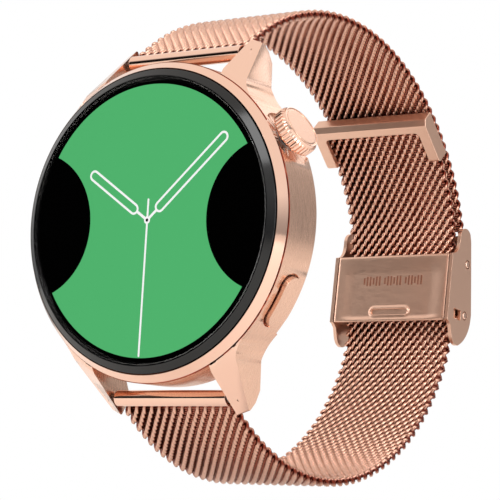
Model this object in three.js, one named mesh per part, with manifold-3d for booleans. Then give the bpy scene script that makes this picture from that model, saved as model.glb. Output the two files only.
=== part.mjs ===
// A round smartwatch on a woven mesh bracelet, closed as it is worn on a wrist.
// Millimetres. +Z points to 12 o'clock, +X to the crown's side, and the dial faces -Y.
// The origin is the centre of the sensor window, the face that rests on the wrist.
import * as THREE from "three";
import { mergeVertices } from "three/addons/utils/BufferGeometryUtils.js";
import Module from "manifold-3d";

const wasm = await Module();
wasm.setup();

// ---- Driving dimensions ----

// The case, from its back (y = 0) to the glass (negative y)
const CASE_RADIUS = 23.45;
const CASE_WALL = 2.05;
const SENSOR_RISE = 0.5;
const BACK_COVER_HEIGHT = 1.6;
const MID_CASE_HEIGHT = 7.2;
const RING_HEIGHT = 1.5;
const GLASS_RISE = 0.8;
const RING_WIDTH = 1.15;
const BEZEL_WIDTH = 1.1;
const GLASS_THICKNESS = 1.0;
const DISPLAY_THICKNESS = 0.8;
const TRAY_THICKNESS = 0.8;
const BOARD_THICKNESS = 0.9;
const BATTERY = { width: 21, depth: 3.6, height: 18 };
const SENSOR_WINDOW_RADIUS = 12.6;
const CHARGING_PIN_SPACING = 5.4;
const CHARGING_PIN_RADIUS = 0.9;
const CHARGING_PIN_Z = -16.2;
const SCREW_CIRCLE_RADIUS = 17.9;
const SCREW_HEAD_RADIUS = 1.1;
const SCREW_SHANK_RADIUS = 0.5;

// The lugs and the strap ends
const STRAP_WIDTH = 20;
const STRAP_THICKNESS = 1.9;
const LUG_GAP = 0.6;
const LUG_WIDTH_AT_TIP = 1.75;
const SHOULDER_REACH = 0.8;
const SHOULDER_DROP = 0.6;
const LUG_APEX_X = 14.6;
const LUG_APEX_REACH = 0.95;
const LUG_REACH = 3.95;
const LUG_ROOT_Z = 14;
const LUG_BACK_Y = -0.3;
const TUBE_Y = -3.3;
const TUBE_REACH = 1.65;
const TUBE_RADIUS = 1.2;
const TUBE_BORE_RADIUS = 0.85;
const BAR_RADIUS = 0.65;
const BAR_TIP_RADIUS = 0.35;
const BAR_TIP_REACH = 1.0;
const RELEASE_TRAVEL = 1.2;

// The loop, as ellipses that the two straps' centre lines follow
const LOWER_LOOP = { y: 23.7, z: -1.43, depth: 36.55, beyondTube: 9.44 };
const UPPER_LOOP = { y: 23.74, z: -3.63, depth: 39.6, beyondTube: 14.1 };
const LOOP_START = 128;
const CLASP_FLAT_Y = 59.0;
const CLASP_FLAT_TOP = 3.2;
const CLASP_FLAT_BOTTOM = -7.4;
const LOWER_STRAP_END = 46.6;
const END_BAR_Z = 3.0;
const END_BAR_HEIGHT = 3.2;

// The crown and the button
const CROWN_ANGLE = 30;
const BUTTON_ANGLE = -30;
const CROWN_RADIUS = 3.7;
const CROWN_LENGTH = 2.2;
const CROWN_TEETH = 36;
const CROWN_CAP_RADIUS = 3.15;
const CROWN_STAND_OFF = 0.35;
const CROWN_TRAVEL = 0.5;
const SCALLOP_DEPTH = 0.6;
const STEM_RADIUS = 0.85;
const BUSH_RADIUS = 1.9;
const BUTTON_LENGTH = 8.0;
const BUTTON_WIDTH = 4.0;
const BUTTON_RISE = 0.75;
const BUTTON_TRAVEL = 0.4;
const RECESS_DEPTH = 1.25;
const PLUNGER_RADIUS = 0.7;

// The clasp
const CLASP_SIDE_ROOM = 0.9;
const WALL_THICKNESS = 0.6;
const UPPER_PIN = { y: 61.2, z: 1.4 };
const CATCH_PIN = { y: 60.65, z: -7.2 };
const CLASP_PIN_RADIUS = 0.6;
const LATCH_WINDOW = { y: 58.1, z: -7.15, width: 2.3, height: 1.7 };
const PLATE_TOP = { y: 56.3, z: 2.8 };
const PLATE_BOTTOM = { y: 55.0, z: -8.3 };
const PLATE_THICKNESS = 0.55;
const PLATE_HINGE = { y: 57.05, z: 1.9 };
const PLATE_HINGE_RADIUS = 0.35;
const PRY_SLOT = { length: 7.2, height: 1.4 };
const COVER_HINGE = { y: 62.35, z: 4.3 };
const COVER_HINGE_RADIUS = 0.35;
const COVER_THICKNESS = 0.6;
const COVER_GAP = 0.35;
const HOOK_SLACK = 1.25;
const KEEPER_SIDE = 0.95;
const KEEPER_BAR_HEIGHT = 2.2;
const KEEPER_LEG_WIDTH = 1.9;
const KEEPER_LENGTH = 8.1;
const KEEPER_RISE = 1.05;

// Clearances
const SEAT_GAP = 0.15;
const TURN_GAP = 0.15;
const SIDE_GAP = 0.3;

// ---- Depths and reaches worked out from them ----

const CASE_INNER_RADIUS = CASE_RADIUS - CASE_WALL;
const RING_INNER_RADIUS = CASE_RADIUS - RING_WIDTH;
const GLASS_RADIUS = RING_INNER_RADIUS - SEAT_GAP - BEZEL_WIDTH - SEAT_GAP;
const SHOULDER_RADIUS = CASE_RADIUS + SHOULDER_REACH;
const LUG_APEX = {
  x: LUG_APEX_X,
  z: Math.sqrt((CASE_RADIUS + LUG_APEX_REACH) ** 2 - LUG_APEX_X ** 2),
};
const LUG_TIP_Z = CASE_RADIUS + LUG_REACH;
const TUBE_Z = CASE_RADIUS + TUBE_REACH;

const COVER_BACK_Y = -SENSOR_RISE;
const CASE_BACK_Y = COVER_BACK_Y - BACK_COVER_HEIGHT;
const CASE_FRONT_Y = CASE_BACK_Y - MID_CASE_HEIGHT;
const RING_FRONT_Y = CASE_FRONT_Y - RING_HEIGHT;
const GLASS_FRONT_Y = RING_FRONT_Y - GLASS_RISE;
const MID_Y = (CASE_BACK_Y + CASE_FRONT_Y) / 2;
const GLASS_BACK_Y = GLASS_FRONT_Y + GLASS_THICKNESS;
const DISPLAY_BACK_Y = GLASS_BACK_Y + SEAT_GAP + DISPLAY_THICKNESS;
const TRAY_BACK_Y = DISPLAY_BACK_Y + SEAT_GAP + TRAY_THICKNESS;
const BOARD_BACK_Y = TRAY_BACK_Y + SIDE_GAP + BOARD_THICKNESS;
const STRAP_HALF = STRAP_WIDTH / 2;
const TUBE_HALF = STRAP_HALF + 0.1;
const LUG_INNER_X = STRAP_HALF + LUG_GAP;
const WALL_INNER_X = STRAP_HALF + CLASP_SIDE_ROOM;
const WALL_OUTER_X = WALL_INNER_X + WALL_THICKNESS;
const KEEPER_HALF_WIDTH = STRAP_HALF + KEEPER_SIDE;
const CROWN_BASE = CASE_RADIUS + CROWN_STAND_OFF;
const CROWN_END = CROWN_BASE + CROWN_LENGTH;
const SCALLOP_FLOOR = CASE_RADIUS - SCALLOP_DEPTH;
const RECESS_FLOOR = CASE_RADIUS - RECESS_DEPTH;

// ---- Making and joining closed shapes ----

// A closed geometry as a solid that can be joined and cut.
function solid(geometry) {
  const bare = geometry.index ? geometry.toNonIndexed() : geometry.clone();
  bare.deleteAttribute("normal");
  bare.deleteAttribute("uv");
  const merged = mergeVertices(bare, 1e-4);
  return new wasm.Manifold(
    new wasm.Mesh({
      numProp: 3,
      vertProperties: merged.attributes.position.array,
      triVerts: new Uint32Array(merged.index.array),
    }),
  );
}

// A joined or cut solid as a geometry again.
function geometryOf(made) {
  const { vertProperties, triVerts } = made.getMesh();
  const geometry = new THREE.BufferGeometry();
  geometry.setAttribute("position", new THREE.BufferAttribute(vertProperties.slice(), 3));
  geometry.setIndex(new THREE.BufferAttribute(triVerts.slice(), 1));
  geometry.computeVertexNormals();
  return geometry;
}

function joined(first, ...others) {
  return geometryOf(others.reduce((sum, other) => sum.add(solid(other)), solid(first)));
}

function cut(first, ...cutters) {
  return geometryOf(cutters.reduce((rest, cutter) => rest.subtract(solid(cutter)), solid(first)));
}

function common(first, ...others) {
  return geometryOf(others.reduce((rest, other) => rest.intersect(solid(other)), solid(first)));
}

// Twice the area that a closed outline encloses, positive when it runs anticlockwise.
function turning(points) {
  return points.reduce((sum, [a, b], i) => {
    const [c, d] = points[(i + 1) % points.length];
    return sum + a * d - c * b;
  }, 0);
}

// A solid of revolution about the dial's axis, from a profile of [radius, y].
function turned(profile, segments = 72) {
  const points = turning(profile) < 0 ? [...profile].reverse() : [...profile];
  const onAxis = points.filter(([radius]) => radius === 0).length;
  if (onAxis === 0) points.push(points[0]);
  else while (points[0][0] !== 0 || points.at(-1)[0] !== 0) points.push(points.shift());
  return new THREE.LatheGeometry(
    points.map(([radius, y]) => new THREE.Vector2(radius, y)),
    segments,
  );
}

// The same about the X axis, from a profile of [radius, x].
function turnedX(profile, segments = 24) {
  return turned(profile, segments).rotateZ(-Math.PI / 2);
}

// A round bar along X.
function rodX(radius, x0, x1, y = 0, z = 0, segments = 12) {
  return new THREE.CylinderGeometry(radius, radius, x1 - x0, segments)
    .rotateZ(-Math.PI / 2)
    .translate((x0 + x1) / 2, y, z);
}

// A round bar along Y.
function rodY(radius, y0, y1, x = 0, z = 0, segments = 16) {
  return new THREE.CylinderGeometry(radius, radius, y1 - y0, segments).translate(x, (y0 + y1) / 2, z);
}

// An outline of [y, z], drawn out along X.
function prismX(outline, x0, x1) {
  const shape = new THREE.Shape(outline.map(([y, z]) => new THREE.Vector2(-z, y)));
  return new THREE.ExtrudeGeometry(shape, { depth: x1 - x0, bevelEnabled: false })
    .rotateY(Math.PI / 2)
    .translate(x0, 0, 0);
}

// An outline of [x, z], drawn out along Y.
function prismY(outline, y0, y1) {
  const shape = new THREE.Shape(outline.map(([x, z]) => new THREE.Vector2(x, z)));
  return new THREE.ExtrudeGeometry(shape, { depth: y1 - y0, bevelEnabled: false })
    .rotateX(Math.PI / 2)
    .translate(0, y1, 0);
}

function box(x0, x1, y0, y1, z0, z1) {
  return new THREE.BoxGeometry(x1 - x0, y1 - y0, z1 - z0).translate(
    (x0 + x1) / 2,
    (y0 + y1) / 2,
    (z0 + z1) / 2,
  );
}

// A copy turned over in X or Z, with its faces still pointing out.
function flipped(geometry, signX, signZ) {
  const copy = (geometry.index ? geometry.toNonIndexed() : geometry.clone()).scale(signX, 1, signZ);
  if (signX * signZ > 0) return copy;
  const { array } = copy.attributes.position;
  for (let i = 0; i < array.length; i += 9) {
    for (let k = 0; k < 3; k++) [array[i + 3 + k], array[i + 6 + k]] = [array[i + 6 + k], array[i + 3 + k]];
  }
  return copy;
}

// Points on an arc of a circle, as [a, b], between two angles in degrees.
function arc(centreA, centreB, radius, from, to, steps) {
  return Array.from({ length: steps + 1 }, (_, i) => {
    const angle = THREE.MathUtils.degToRad(from + ((to - from) * i) / steps);
    return [centreA + radius * Math.cos(angle), centreB + radius * Math.sin(angle)];
  });
}

// Points on a curve that leaves one point towards a corner and arrives at another.
function bend(start, corner, end, steps) {
  const curve = new THREE.QuadraticBezierCurve(
    new THREE.Vector2(...start),
    new THREE.Vector2(...corner),
    new THREE.Vector2(...end),
  );
  return curve.getPoints(steps).map((point) => [point.x, point.y]);
}

// An oblong with round ends, long along the second axis.
function oblong(width, length, steps = 8) {
  const radius = width / 2;
  const reach = length / 2 - radius;
  return [...arc(0, reach, radius, 0, 180, steps), ...arc(0, -reach, radius, 180, 360, steps)];
}

// ---- The object ----

const watch = new THREE.Group();

function finish(color, roughness, metalness) {
  return new THREE.MeshStandardMaterial({ color, roughness, metalness });
}

const ROSE_GOLD = finish("#d9b39a", 0.3, 1);
const POLISHED_ROSE_GOLD = finish("#f3c9b4", 0.1, 1);
const STEEL = finish("#b9b9bd", 0.35, 1);
const BLACK_CERAMIC = finish("#101012", 0.2, 0);
const GLASS = finish("#060607", 0.05, 0);
const BLACK_PLASTIC = finish("#1c1c1e", 0.5, 0);
const RUBBER = finish("#202020", 0.85, 0);
const BOARD = finish("#1d5b3a", 0.6, 0);
const FOIL = finish("#8d9096", 0.45, 0.6);
const GOLD = finish("#d8b25c", 0.3, 1);

function add(name, geometry, material, parent = watch) {
  const mesh = new THREE.Mesh(geometry, material);
  mesh.name = name;
  parent.add(mesh);
  return mesh;
}

// A group whose own +X points out of the case at an angle above 3 o'clock, at the case's mid depth.
function radialGroup(angle) {
  const group = new THREE.Group();
  group.rotation.y = -THREE.MathUtils.degToRad(angle);
  group.position.y = MID_Y;
  watch.add(group);
  group.updateMatrix();
  return group;
}

const crownGroup = radialGroup(CROWN_ANGLE);
const buttonGroup = radialGroup(BUTTON_ANGLE);

function inGroup(geometry, group) {
  return geometry.clone().applyMatrix4(group.matrix);
}

// ---- Lugs ----

// The sloping polished face of the 1 o'clock lug lies on a plane through these three points.
const SHOULDER_Y = CASE_FRONT_Y + SHOULDER_DROP;
const FACET = [
  new THREE.Vector3(LUG_INNER_X, SHOULDER_Y, Math.sqrt(SHOULDER_RADIUS ** 2 - LUG_INNER_X ** 2)),
  new THREE.Vector3(LUG_APEX.x, SHOULDER_Y, LUG_APEX.z),
  new THREE.Vector3(LUG_INNER_X, TUBE_Y + 1.25, LUG_TIP_Z),
];

// How far out the lug's flat side is, from its apex by the case to its tip.
function lugSideX(z) {
  const along = (z - LUG_APEX.z) / (LUG_TIP_Z - 0.7 - LUG_APEX.z);
  return LUG_APEX.x + (LUG_INNER_X + LUG_WIDTH_AT_TIP - LUG_APEX.x) * along;
}

function onCase(angle, radius = CASE_RADIUS) {
  const turn = THREE.MathUtils.degToRad(angle);
  return [radius * Math.cos(turn), radius * Math.sin(turn)];
}

// The plan of a lug, seen from the front: straight inside, and swept out of the case outside.
function lugPlan() {
  const sweepStart = onCase(43);
  const middleZ = LUG_APEX.z - 1.65;
  const endZ = LUG_APEX.z + 1.05;
  const sweepMiddle = [lugSideX(middleZ) - 0.1, middleZ];
  const sweepEnd = [lugSideX(endZ), endZ];
  return [
    [LUG_INNER_X, LUG_ROOT_Z],
    [LUG_APEX.x + 0.4, LUG_ROOT_Z],
    ...bend(sweepStart, sweepMiddle, sweepEnd, 7),
    [lugSideX(LUG_TIP_Z - 0.7), LUG_TIP_Z - 0.7],
    [LUG_INNER_X, LUG_TIP_Z],
  ];
}

// The lug from the side: it hangs down behind the strap's end tube.
function lugProfile() {
  return [
    [CASE_FRONT_Y, LUG_ROOT_Z],
    [CASE_FRONT_Y, LUG_TIP_Z],
    [TUBE_Y + 1.6, LUG_TIP_Z],
    [TUBE_Y + 2.8, TUBE_Z + 0.5],
    [LUG_BACK_Y, TUBE_Z - 1.3],
    [CASE_BACK_Y - 0.1, LUG_APEX.z + 0.05],
    [CASE_BACK_Y, LUG_ROOT_Z],
  ];
}

// Everything behind the facet's plane.
function behindFacet() {
  const [a, b, c] = FACET;
  const out = new THREE.Vector3().crossVectors(b.clone().sub(a), c.clone().sub(a)).normalize();
  const depth = 60;
  const block = new THREE.BoxGeometry(120, 120, depth).translate(0, 0, -depth / 2);
  const turn = new THREE.Quaternion().setFromUnitVectors(new THREE.Vector3(0, 0, 1), out);
  return block.applyQuaternion(turn).translate(a.x, a.y, a.z);
}

function oneLug() {
  const fall = SHOULDER_DROP / (SHOULDER_RADIUS - CASE_RADIUS);
  const reach = 8;
  const shoulder = turned(
    [
      [0, CASE_BACK_Y + 4],
      [0, CASE_FRONT_Y],
      [CASE_RADIUS, CASE_FRONT_Y],
      [CASE_RADIUS + reach, CASE_FRONT_Y + fall * reach],
      [CASE_RADIUS + reach, CASE_BACK_Y + 4],
    ],
    96,
  );
  const blade = prismX(lugProfile(), LUG_INNER_X, 24);
  const plan = prismY(lugPlan(), CASE_FRONT_Y - 1, CASE_BACK_Y + 4);
  return common(blade, plan, behindFacet(), shoulder);
}

// ---- The case ----

function midCase() {
  return turned([
    [CASE_INNER_RADIUS, CASE_BACK_Y],
    [CASE_RADIUS - 0.5, CASE_BACK_Y],
    [CASE_RADIUS, CASE_BACK_Y - 0.5],
    [CASE_RADIUS, CASE_FRONT_Y],
    [CASE_INNER_RADIUS, CASE_FRONT_Y],
  ]);
}

// The posts inside the case that the back's screws bite into.
const screwAngles = [45, 135, 225, 315];
const POST_RADIUS = SCREW_SHANK_RADIUS + 1.0;
const POST_BACK_Y = CASE_BACK_Y - 0.9;
const POST_FRONT_Y = POST_BACK_Y - 2.8;

function screwPost(angle) {
  const post = rodY(POST_RADIUS, POST_FRONT_Y, POST_BACK_Y, SCREW_CIRCLE_RADIUS);
  const web = box(
    SCREW_CIRCLE_RADIUS,
    CASE_INNER_RADIUS + 0.3,
    POST_FRONT_Y,
    POST_BACK_Y,
    -POST_RADIUS,
    POST_RADIUS,
  );
  return joined(post, web).rotateY(THREE.MathUtils.degToRad(angle));
}

function screwHole(angle) {
  const radius = SCREW_SHANK_RADIUS + TURN_GAP;
  return rodY(radius, POST_FRONT_Y + 0.5, POST_BACK_Y + 1, SCREW_CIRCLE_RADIUS, 0, 10).rotateY(
    THREE.MathUtils.degToRad(angle),
  );
}

function pinSocket(sideX, sideZ) {
  const radius = BAR_TIP_RADIUS + TURN_GAP;
  const reach = BAR_TIP_REACH + LUG_GAP + 0.2;
  return flipped(rodX(radius, LUG_INNER_X - 1, STRAP_HALF + reach, TUBE_Y, TUBE_Z), sideX, sideZ);
}

function caseBody() {
  const corners = [
    [1, 1],
    [-1, 1],
    [1, -1],
    [-1, -1],
  ];
  const lug = oneLug();
  const outside = joined(midCase(), ...corners.map(([sideX, sideZ]) => flipped(lug, sideX, sideZ)));
  const hollow = rodY(CASE_INNER_RADIUS, CASE_FRONT_Y - 1, CASE_BACK_Y + 1, 0, 0, 72);
  const shell = joined(cut(outside, hollow), ...screwAngles.map(screwPost));
  const scallop = rodX(CROWN_RADIUS + 0.6, SCALLOP_FLOOR, CASE_RADIUS + 3, 0, 0, 40);
  const bushSeat = rodX(BUSH_RADIUS + SEAT_GAP, CASE_INNER_RADIUS - 1, CASE_RADIUS, 0, 0, 24);
  const recess = prismX(oblong(BUTTON_WIDTH + 0.6, BUTTON_LENGTH + 0.6), RECESS_FLOOR, CASE_RADIUS + 2);
  const plungerHole = rodX(PLUNGER_RADIUS + TURN_GAP, CASE_INNER_RADIUS - 1, CASE_RADIUS, 0, 0, 16);
  return cut(
    shell,
    inGroup(scallop, crownGroup),
    inGroup(bushSeat, crownGroup),
    inGroup(recess, buttonGroup),
    inGroup(plungerHole, buttonGroup),
    ...screwAngles.map(screwHole),
    ...corners.map(([sideX, sideZ]) => pinSocket(sideX, sideZ)),
  );
}

add("case_body", caseBody(), ROSE_GOLD);

add(
  "front_ring",
  turned([
    [RING_INNER_RADIUS, CASE_FRONT_Y - SEAT_GAP],
    [CASE_RADIUS - 0.1, CASE_FRONT_Y - SEAT_GAP],
    [CASE_RADIUS - 0.55, RING_FRONT_Y + 0.8],
    [RING_INNER_RADIUS, RING_FRONT_Y],
  ]),
  POLISHED_ROSE_GOLD,
);

const BEZEL_OUTER = RING_INNER_RADIUS - SEAT_GAP;
const GLASS_SEAT_Y = GLASS_BACK_Y + SEAT_GAP;

add(
  "bezel_ring",
  turned([
    [GLASS_RADIUS + SEAT_GAP, GLASS_FRONT_Y],
    [GLASS_RADIUS + SEAT_GAP, GLASS_SEAT_Y],
    [GLASS_RADIUS - 0.35, GLASS_SEAT_Y],
    [GLASS_RADIUS - 0.35, CASE_FRONT_Y - SEAT_GAP],
    [BEZEL_OUTER, CASE_FRONT_Y - SEAT_GAP],
    [BEZEL_OUTER, RING_FRONT_Y - 0.05],
  ]),
  BLACK_CERAMIC,
);

add("cover_glass", rodY(GLASS_RADIUS, GLASS_FRONT_Y, GLASS_BACK_Y, 0, 0, 72), GLASS);

const DISPLAY_RADIUS = GLASS_RADIUS - 0.35 - SEAT_GAP;

add(
  "display_panel",
  rodY(DISPLAY_RADIUS, DISPLAY_BACK_Y - DISPLAY_THICKNESS, DISPLAY_BACK_Y, 0, 0, 48),
  GLASS,
);

const TRAY_FRONT_Y = Math.max(TRAY_BACK_Y - TRAY_THICKNESS, CASE_FRONT_Y);
add(
  "display_tray",
  cut(
    rodY(CASE_INNER_RADIUS - SIDE_GAP, TRAY_FRONT_Y, TRAY_FRONT_Y + TRAY_THICKNESS, 0, 0, 48),
    box(-6, 6, CASE_FRONT_Y - 2, CASE_BACK_Y, -18.5, -16.5),
  ),
  BLACK_PLASTIC,
);

// The main board, with its raised chips and shielding cans
const BOARD_Y = TRAY_FRONT_Y + TRAY_THICKNESS + SIDE_GAP;
const CHIPS = [
  { x: -7, z: 5, width: 8, height: 6 },
  { x: 5, z: 6, width: 6, height: 6 },
  { x: 1, z: -7, width: 11, height: 4 },
];

add(
  "main_board",
  joined(
    prismY(arc(0, 0, 17.5, -70, 250, 30), BOARD_Y, BOARD_Y + BOARD_THICKNESS),
    ...CHIPS.map(({ x, z, width, height }) =>
      box(
        x - width / 2,
        x + width / 2,
        BOARD_Y + BOARD_THICKNESS - 0.1,
        BOARD_Y + BOARD_THICKNESS + 0.7,
        z - height / 2,
        z + height / 2,
      ),
    ),
  ),
  BOARD,
);

const BATTERY_FRONT_Y = BOARD_Y + BOARD_THICKNESS + 0.7 + SEAT_GAP;
const batteryHalf = BATTERY.width / 2;
const batteryEdge = 1.2;
add(
  "battery",
  prismY(
    [
      ...arc(batteryHalf - batteryEdge, BATTERY.height / 2 - batteryEdge, batteryEdge, 0, 90, 3),
      ...arc(-batteryHalf + batteryEdge, BATTERY.height / 2 - batteryEdge, batteryEdge, 90, 180, 3),
      ...arc(-batteryHalf + batteryEdge, -BATTERY.height / 2 + batteryEdge, batteryEdge, 180, 270, 3),
      ...arc(batteryHalf - batteryEdge, -BATTERY.height / 2 + batteryEdge, batteryEdge, 270, 360, 3),
    ],
    BATTERY_FRONT_Y,
    BATTERY_FRONT_Y + BATTERY.depth,
  ),
  FOIL,
);

const MOTOR_RADIUS = 3.2;
add("vibration_motor", rodY(MOTOR_RADIUS, BATTERY_FRONT_Y, BATTERY_FRONT_Y + 2.4, -15.2, 0, 24), STEEL);
add("speaker", box(-4.5, 4.5, BATTERY_FRONT_Y, BATTERY_FRONT_Y + 2.4, 10.2, 15.2), BLACK_PLASTIC);

// ---- The back ----

const WINDOW_FLANGE_RADIUS = SENSOR_WINDOW_RADIUS + 0.8;
const COVER_EDGE_RADIUS = CASE_RADIUS - 0.8;
const SPIGOT_RADIUS = CASE_INNER_RADIUS - SIDE_GAP - 1.0;
const GASKET_HEIGHT = 0.6;
const COVER_SHELL = 1.1;
const COVER_FRONT_Y = COVER_BACK_Y - COVER_SHELL;

function screwSeat(angle) {
  const seat = joined(
    rodY(SCREW_HEAD_RADIUS + SEAT_GAP, COVER_BACK_Y - 0.6, COVER_BACK_Y + 1, SCREW_CIRCLE_RADIUS),
    rodY(SCREW_SHANK_RADIUS + SEAT_GAP, COVER_FRONT_Y - 2, COVER_BACK_Y, SCREW_CIRCLE_RADIUS),
  );
  return seat.rotateY(THREE.MathUtils.degToRad(angle));
}

const pinPlaces = [-CHARGING_PIN_SPACING / 2, CHARGING_PIN_SPACING / 2];

add(
  "back_cover",
  cut(
    turned([
      [0, COVER_BACK_Y],
      [COVER_EDGE_RADIUS - 2.2, COVER_BACK_Y],
      [COVER_EDGE_RADIUS, CASE_BACK_Y + SEAT_GAP + 0.5],
      [COVER_EDGE_RADIUS, CASE_BACK_Y + SEAT_GAP],
      [SPIGOT_RADIUS, CASE_BACK_Y + SEAT_GAP],
      [SPIGOT_RADIUS, CASE_BACK_Y - GASKET_HEIGHT],
      [SPIGOT_RADIUS - 0.9, CASE_BACK_Y - GASKET_HEIGHT],
      [SPIGOT_RADIUS - 0.9, COVER_FRONT_Y],
      [0, COVER_FRONT_Y],
    ]),
    rodY(SENSOR_WINDOW_RADIUS + SEAT_GAP, COVER_FRONT_Y - 1, 1, 0, 0, 48),
    rodY(WINDOW_FLANGE_RADIUS + SEAT_GAP, COVER_FRONT_Y - 1, COVER_FRONT_Y + 0.4, 0, 0, 48),
    ...screwAngles.map(screwSeat),
    ...pinPlaces.map((x) =>
      rodY(CHARGING_PIN_RADIUS + SEAT_GAP, COVER_FRONT_Y - 1, 1, x, CHARGING_PIN_Z, 20),
    ),
  ),
  ROSE_GOLD,
);

add(
  "back_gasket",
  turned(
    [
      [SPIGOT_RADIUS + 0.1, CASE_BACK_Y - GASKET_HEIGHT],
      [CASE_INNER_RADIUS - 0.1, CASE_BACK_Y - GASKET_HEIGHT],
      [CASE_INNER_RADIUS - 0.1, CASE_BACK_Y],
      [SPIGOT_RADIUS + 0.1, CASE_BACK_Y],
    ],
    72,
  ),
  RUBBER,
);

add(
  "sensor_window",
  turned(
    [
      [0, 0],
      [SENSOR_WINDOW_RADIUS - 0.6, 0],
      [SENSOR_WINDOW_RADIUS, -0.3],
      [SENSOR_WINDOW_RADIUS, COVER_FRONT_Y + 0.4 - SEAT_GAP],
      [WINDOW_FLANGE_RADIUS, COVER_FRONT_Y + 0.4 - SEAT_GAP],
      [WINDOW_FLANGE_RADIUS, COVER_FRONT_Y - 0.2],
      [0, COVER_FRONT_Y - 0.2],
    ],
    48,
  ),
  GLASS,
);

const SENSOR_BOARD_Y = COVER_FRONT_Y - 0.2 - SEAT_GAP;
add(
  "sensor_board",
  joined(
    rodY(9, SENSOR_BOARD_Y - 0.4, SENSOR_BOARD_Y, 0, 0, 32),
    box(-1.6, 1.6, SENSOR_BOARD_Y - 0.6, SENSOR_BOARD_Y - 0.3, -1.6, 1.6),
  ),
  BOARD,
);

pinPlaces.forEach((x, i) => {
  const pin = joined(
    rodY(CHARGING_PIN_RADIUS, COVER_FRONT_Y, COVER_BACK_Y, x, CHARGING_PIN_Z, 20),
    rodY(CHARGING_PIN_RADIUS + 0.4, COVER_FRONT_Y - 0.5, COVER_FRONT_Y - 0.1, x, CHARGING_PIN_Z, 20),
    rodY(CHARGING_PIN_RADIUS - 0.2, COVER_FRONT_Y - 0.3, COVER_FRONT_Y + 0.2, x, CHARGING_PIN_Z, 20),
  );
  add("charging_pin_" + (i + 1), pin, GOLD);
});

screwAngles.forEach((angle, i) => {
  const head = rodY(SCREW_HEAD_RADIUS, COVER_BACK_Y - 0.5, COVER_BACK_Y - 0.05, SCREW_CIRCLE_RADIUS);
  const shank = rodY(
    SCREW_SHANK_RADIUS,
    POST_FRONT_Y + 1.2,
    COVER_BACK_Y - 0.4,
    SCREW_CIRCLE_RADIUS,
    0,
    10,
  );
  const drive = box(
    SCREW_CIRCLE_RADIUS - 0.7,
    SCREW_CIRCLE_RADIUS + 0.7,
    COVER_BACK_Y - 0.25,
    COVER_BACK_Y + 0.2,
    -0.15,
    0.15,
  );
  const screw = cut(joined(head, shank), drive, drive.clone().translate(-SCREW_CIRCLE_RADIUS, 0, 0)
    .rotateY(Math.PI / 2).translate(SCREW_CIRCLE_RADIUS, 0, 0));
  add("back_screw_" + (i + 1), screw.rotateY(THREE.MathUtils.degToRad(angle)), STEEL);
});

// ---- The crown, in its own group: +X runs out of the case ----

const STEM_INNER = CASE_INNER_RADIUS - 1.2;
const CARRIER_DEPTH = 0.9;
const CARRIER_END = STEM_INNER - TURN_GAP;
const SWITCH_END = CARRIER_END - CARRIER_DEPTH - CROWN_TRAVEL - 0.2;
const CAP_SEAT = CROWN_END - 0.55;

function knurledOutline(radius, depth, teeth) {
  return Array.from({ length: teeth * 2 }, (_, i) => {
    const angle = (Math.PI * i) / teeth;
    const reach = i % 2 ? radius - depth : radius;
    return [reach * Math.cos(angle), reach * Math.sin(angle)];
  });
}

function crownHead() {
  const blank = turnedX([
    [0, CROWN_BASE],
    [CROWN_RADIUS + 0.2, CROWN_BASE],
    [CROWN_RADIUS + 0.2, CROWN_END - 0.75],
    [CROWN_CAP_RADIUS + 0.2, CROWN_END],
    [0, CROWN_END],
  ]);
  const knurl = prismX(knurledOutline(CROWN_RADIUS, 0.22, CROWN_TEETH), CROWN_BASE, CROWN_END);
  const capSeat = rodX(CROWN_CAP_RADIUS - 0.05, CAP_SEAT, CROWN_END + 1, 0, 0, 32);
  const stemSeat = rodX(STEM_RADIUS + SEAT_GAP, CROWN_BASE - 1, CROWN_END, 0, 0, 16);
  return cut(common(knurl, blank), capSeat, stemSeat);
}

add("crown_head", crownHead(), ROSE_GOLD, crownGroup);
add(
  "crown_cap",
  turnedX(
    [
      [0, CAP_SEAT + SEAT_GAP],
      [CROWN_CAP_RADIUS - 0.2, CAP_SEAT + SEAT_GAP],
      [CROWN_CAP_RADIUS - 0.2, CROWN_END - 0.1],
      [CROWN_CAP_RADIUS - 0.35, CROWN_END],
      [0, CROWN_END],
    ],
    32,
  ),
  ROSE_GOLD,
  crownGroup,
);
add("crown_stem", rodX(STEM_RADIUS, STEM_INNER, CAP_SEAT, 0, 0, 16), STEEL, crownGroup);
add(
  "crown_o_ring",
  turnedX(
    [
      [STEM_RADIUS + 0.08, CASE_INNER_RADIUS + 0.5],
      [STEM_RADIUS + 0.38, CASE_INNER_RADIUS + 0.5],
      [STEM_RADIUS + 0.38, CASE_INNER_RADIUS + 0.9],
      [STEM_RADIUS + 0.08, CASE_INNER_RADIUS + 0.9],
    ],
    16,
  ),
  RUBBER,
  crownGroup,
);
add(
  "crown_bush",
  turnedX(
    [
      [STEM_RADIUS + 0.5, CASE_INNER_RADIUS - 0.4],
      [BUSH_RADIUS, CASE_INNER_RADIUS - 0.4],
      [BUSH_RADIUS, SCALLOP_FLOOR - 0.05],
      [STEM_RADIUS + 0.5, SCALLOP_FLOOR - 0.05],
    ],
    24,
  ),
  STEEL,
  crownGroup,
);
add(
  "crown_carrier",
  box(CARRIER_END - CARRIER_DEPTH, CARRIER_END, -1.4, 1.4, -1.4, 1.4),
  STEEL,
  crownGroup,
);
add(
  "crown_switch",
  joined(
    box(SWITCH_END - 1.3, SWITCH_END - 0.4, -1.5, 1.5, -1.8, 1.8),
    rodX(0.8, SWITCH_END - 0.6, SWITCH_END),
  ),
  BLACK_PLASTIC,
  crownGroup,
);

// ---- The button, in its own group ----

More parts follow.
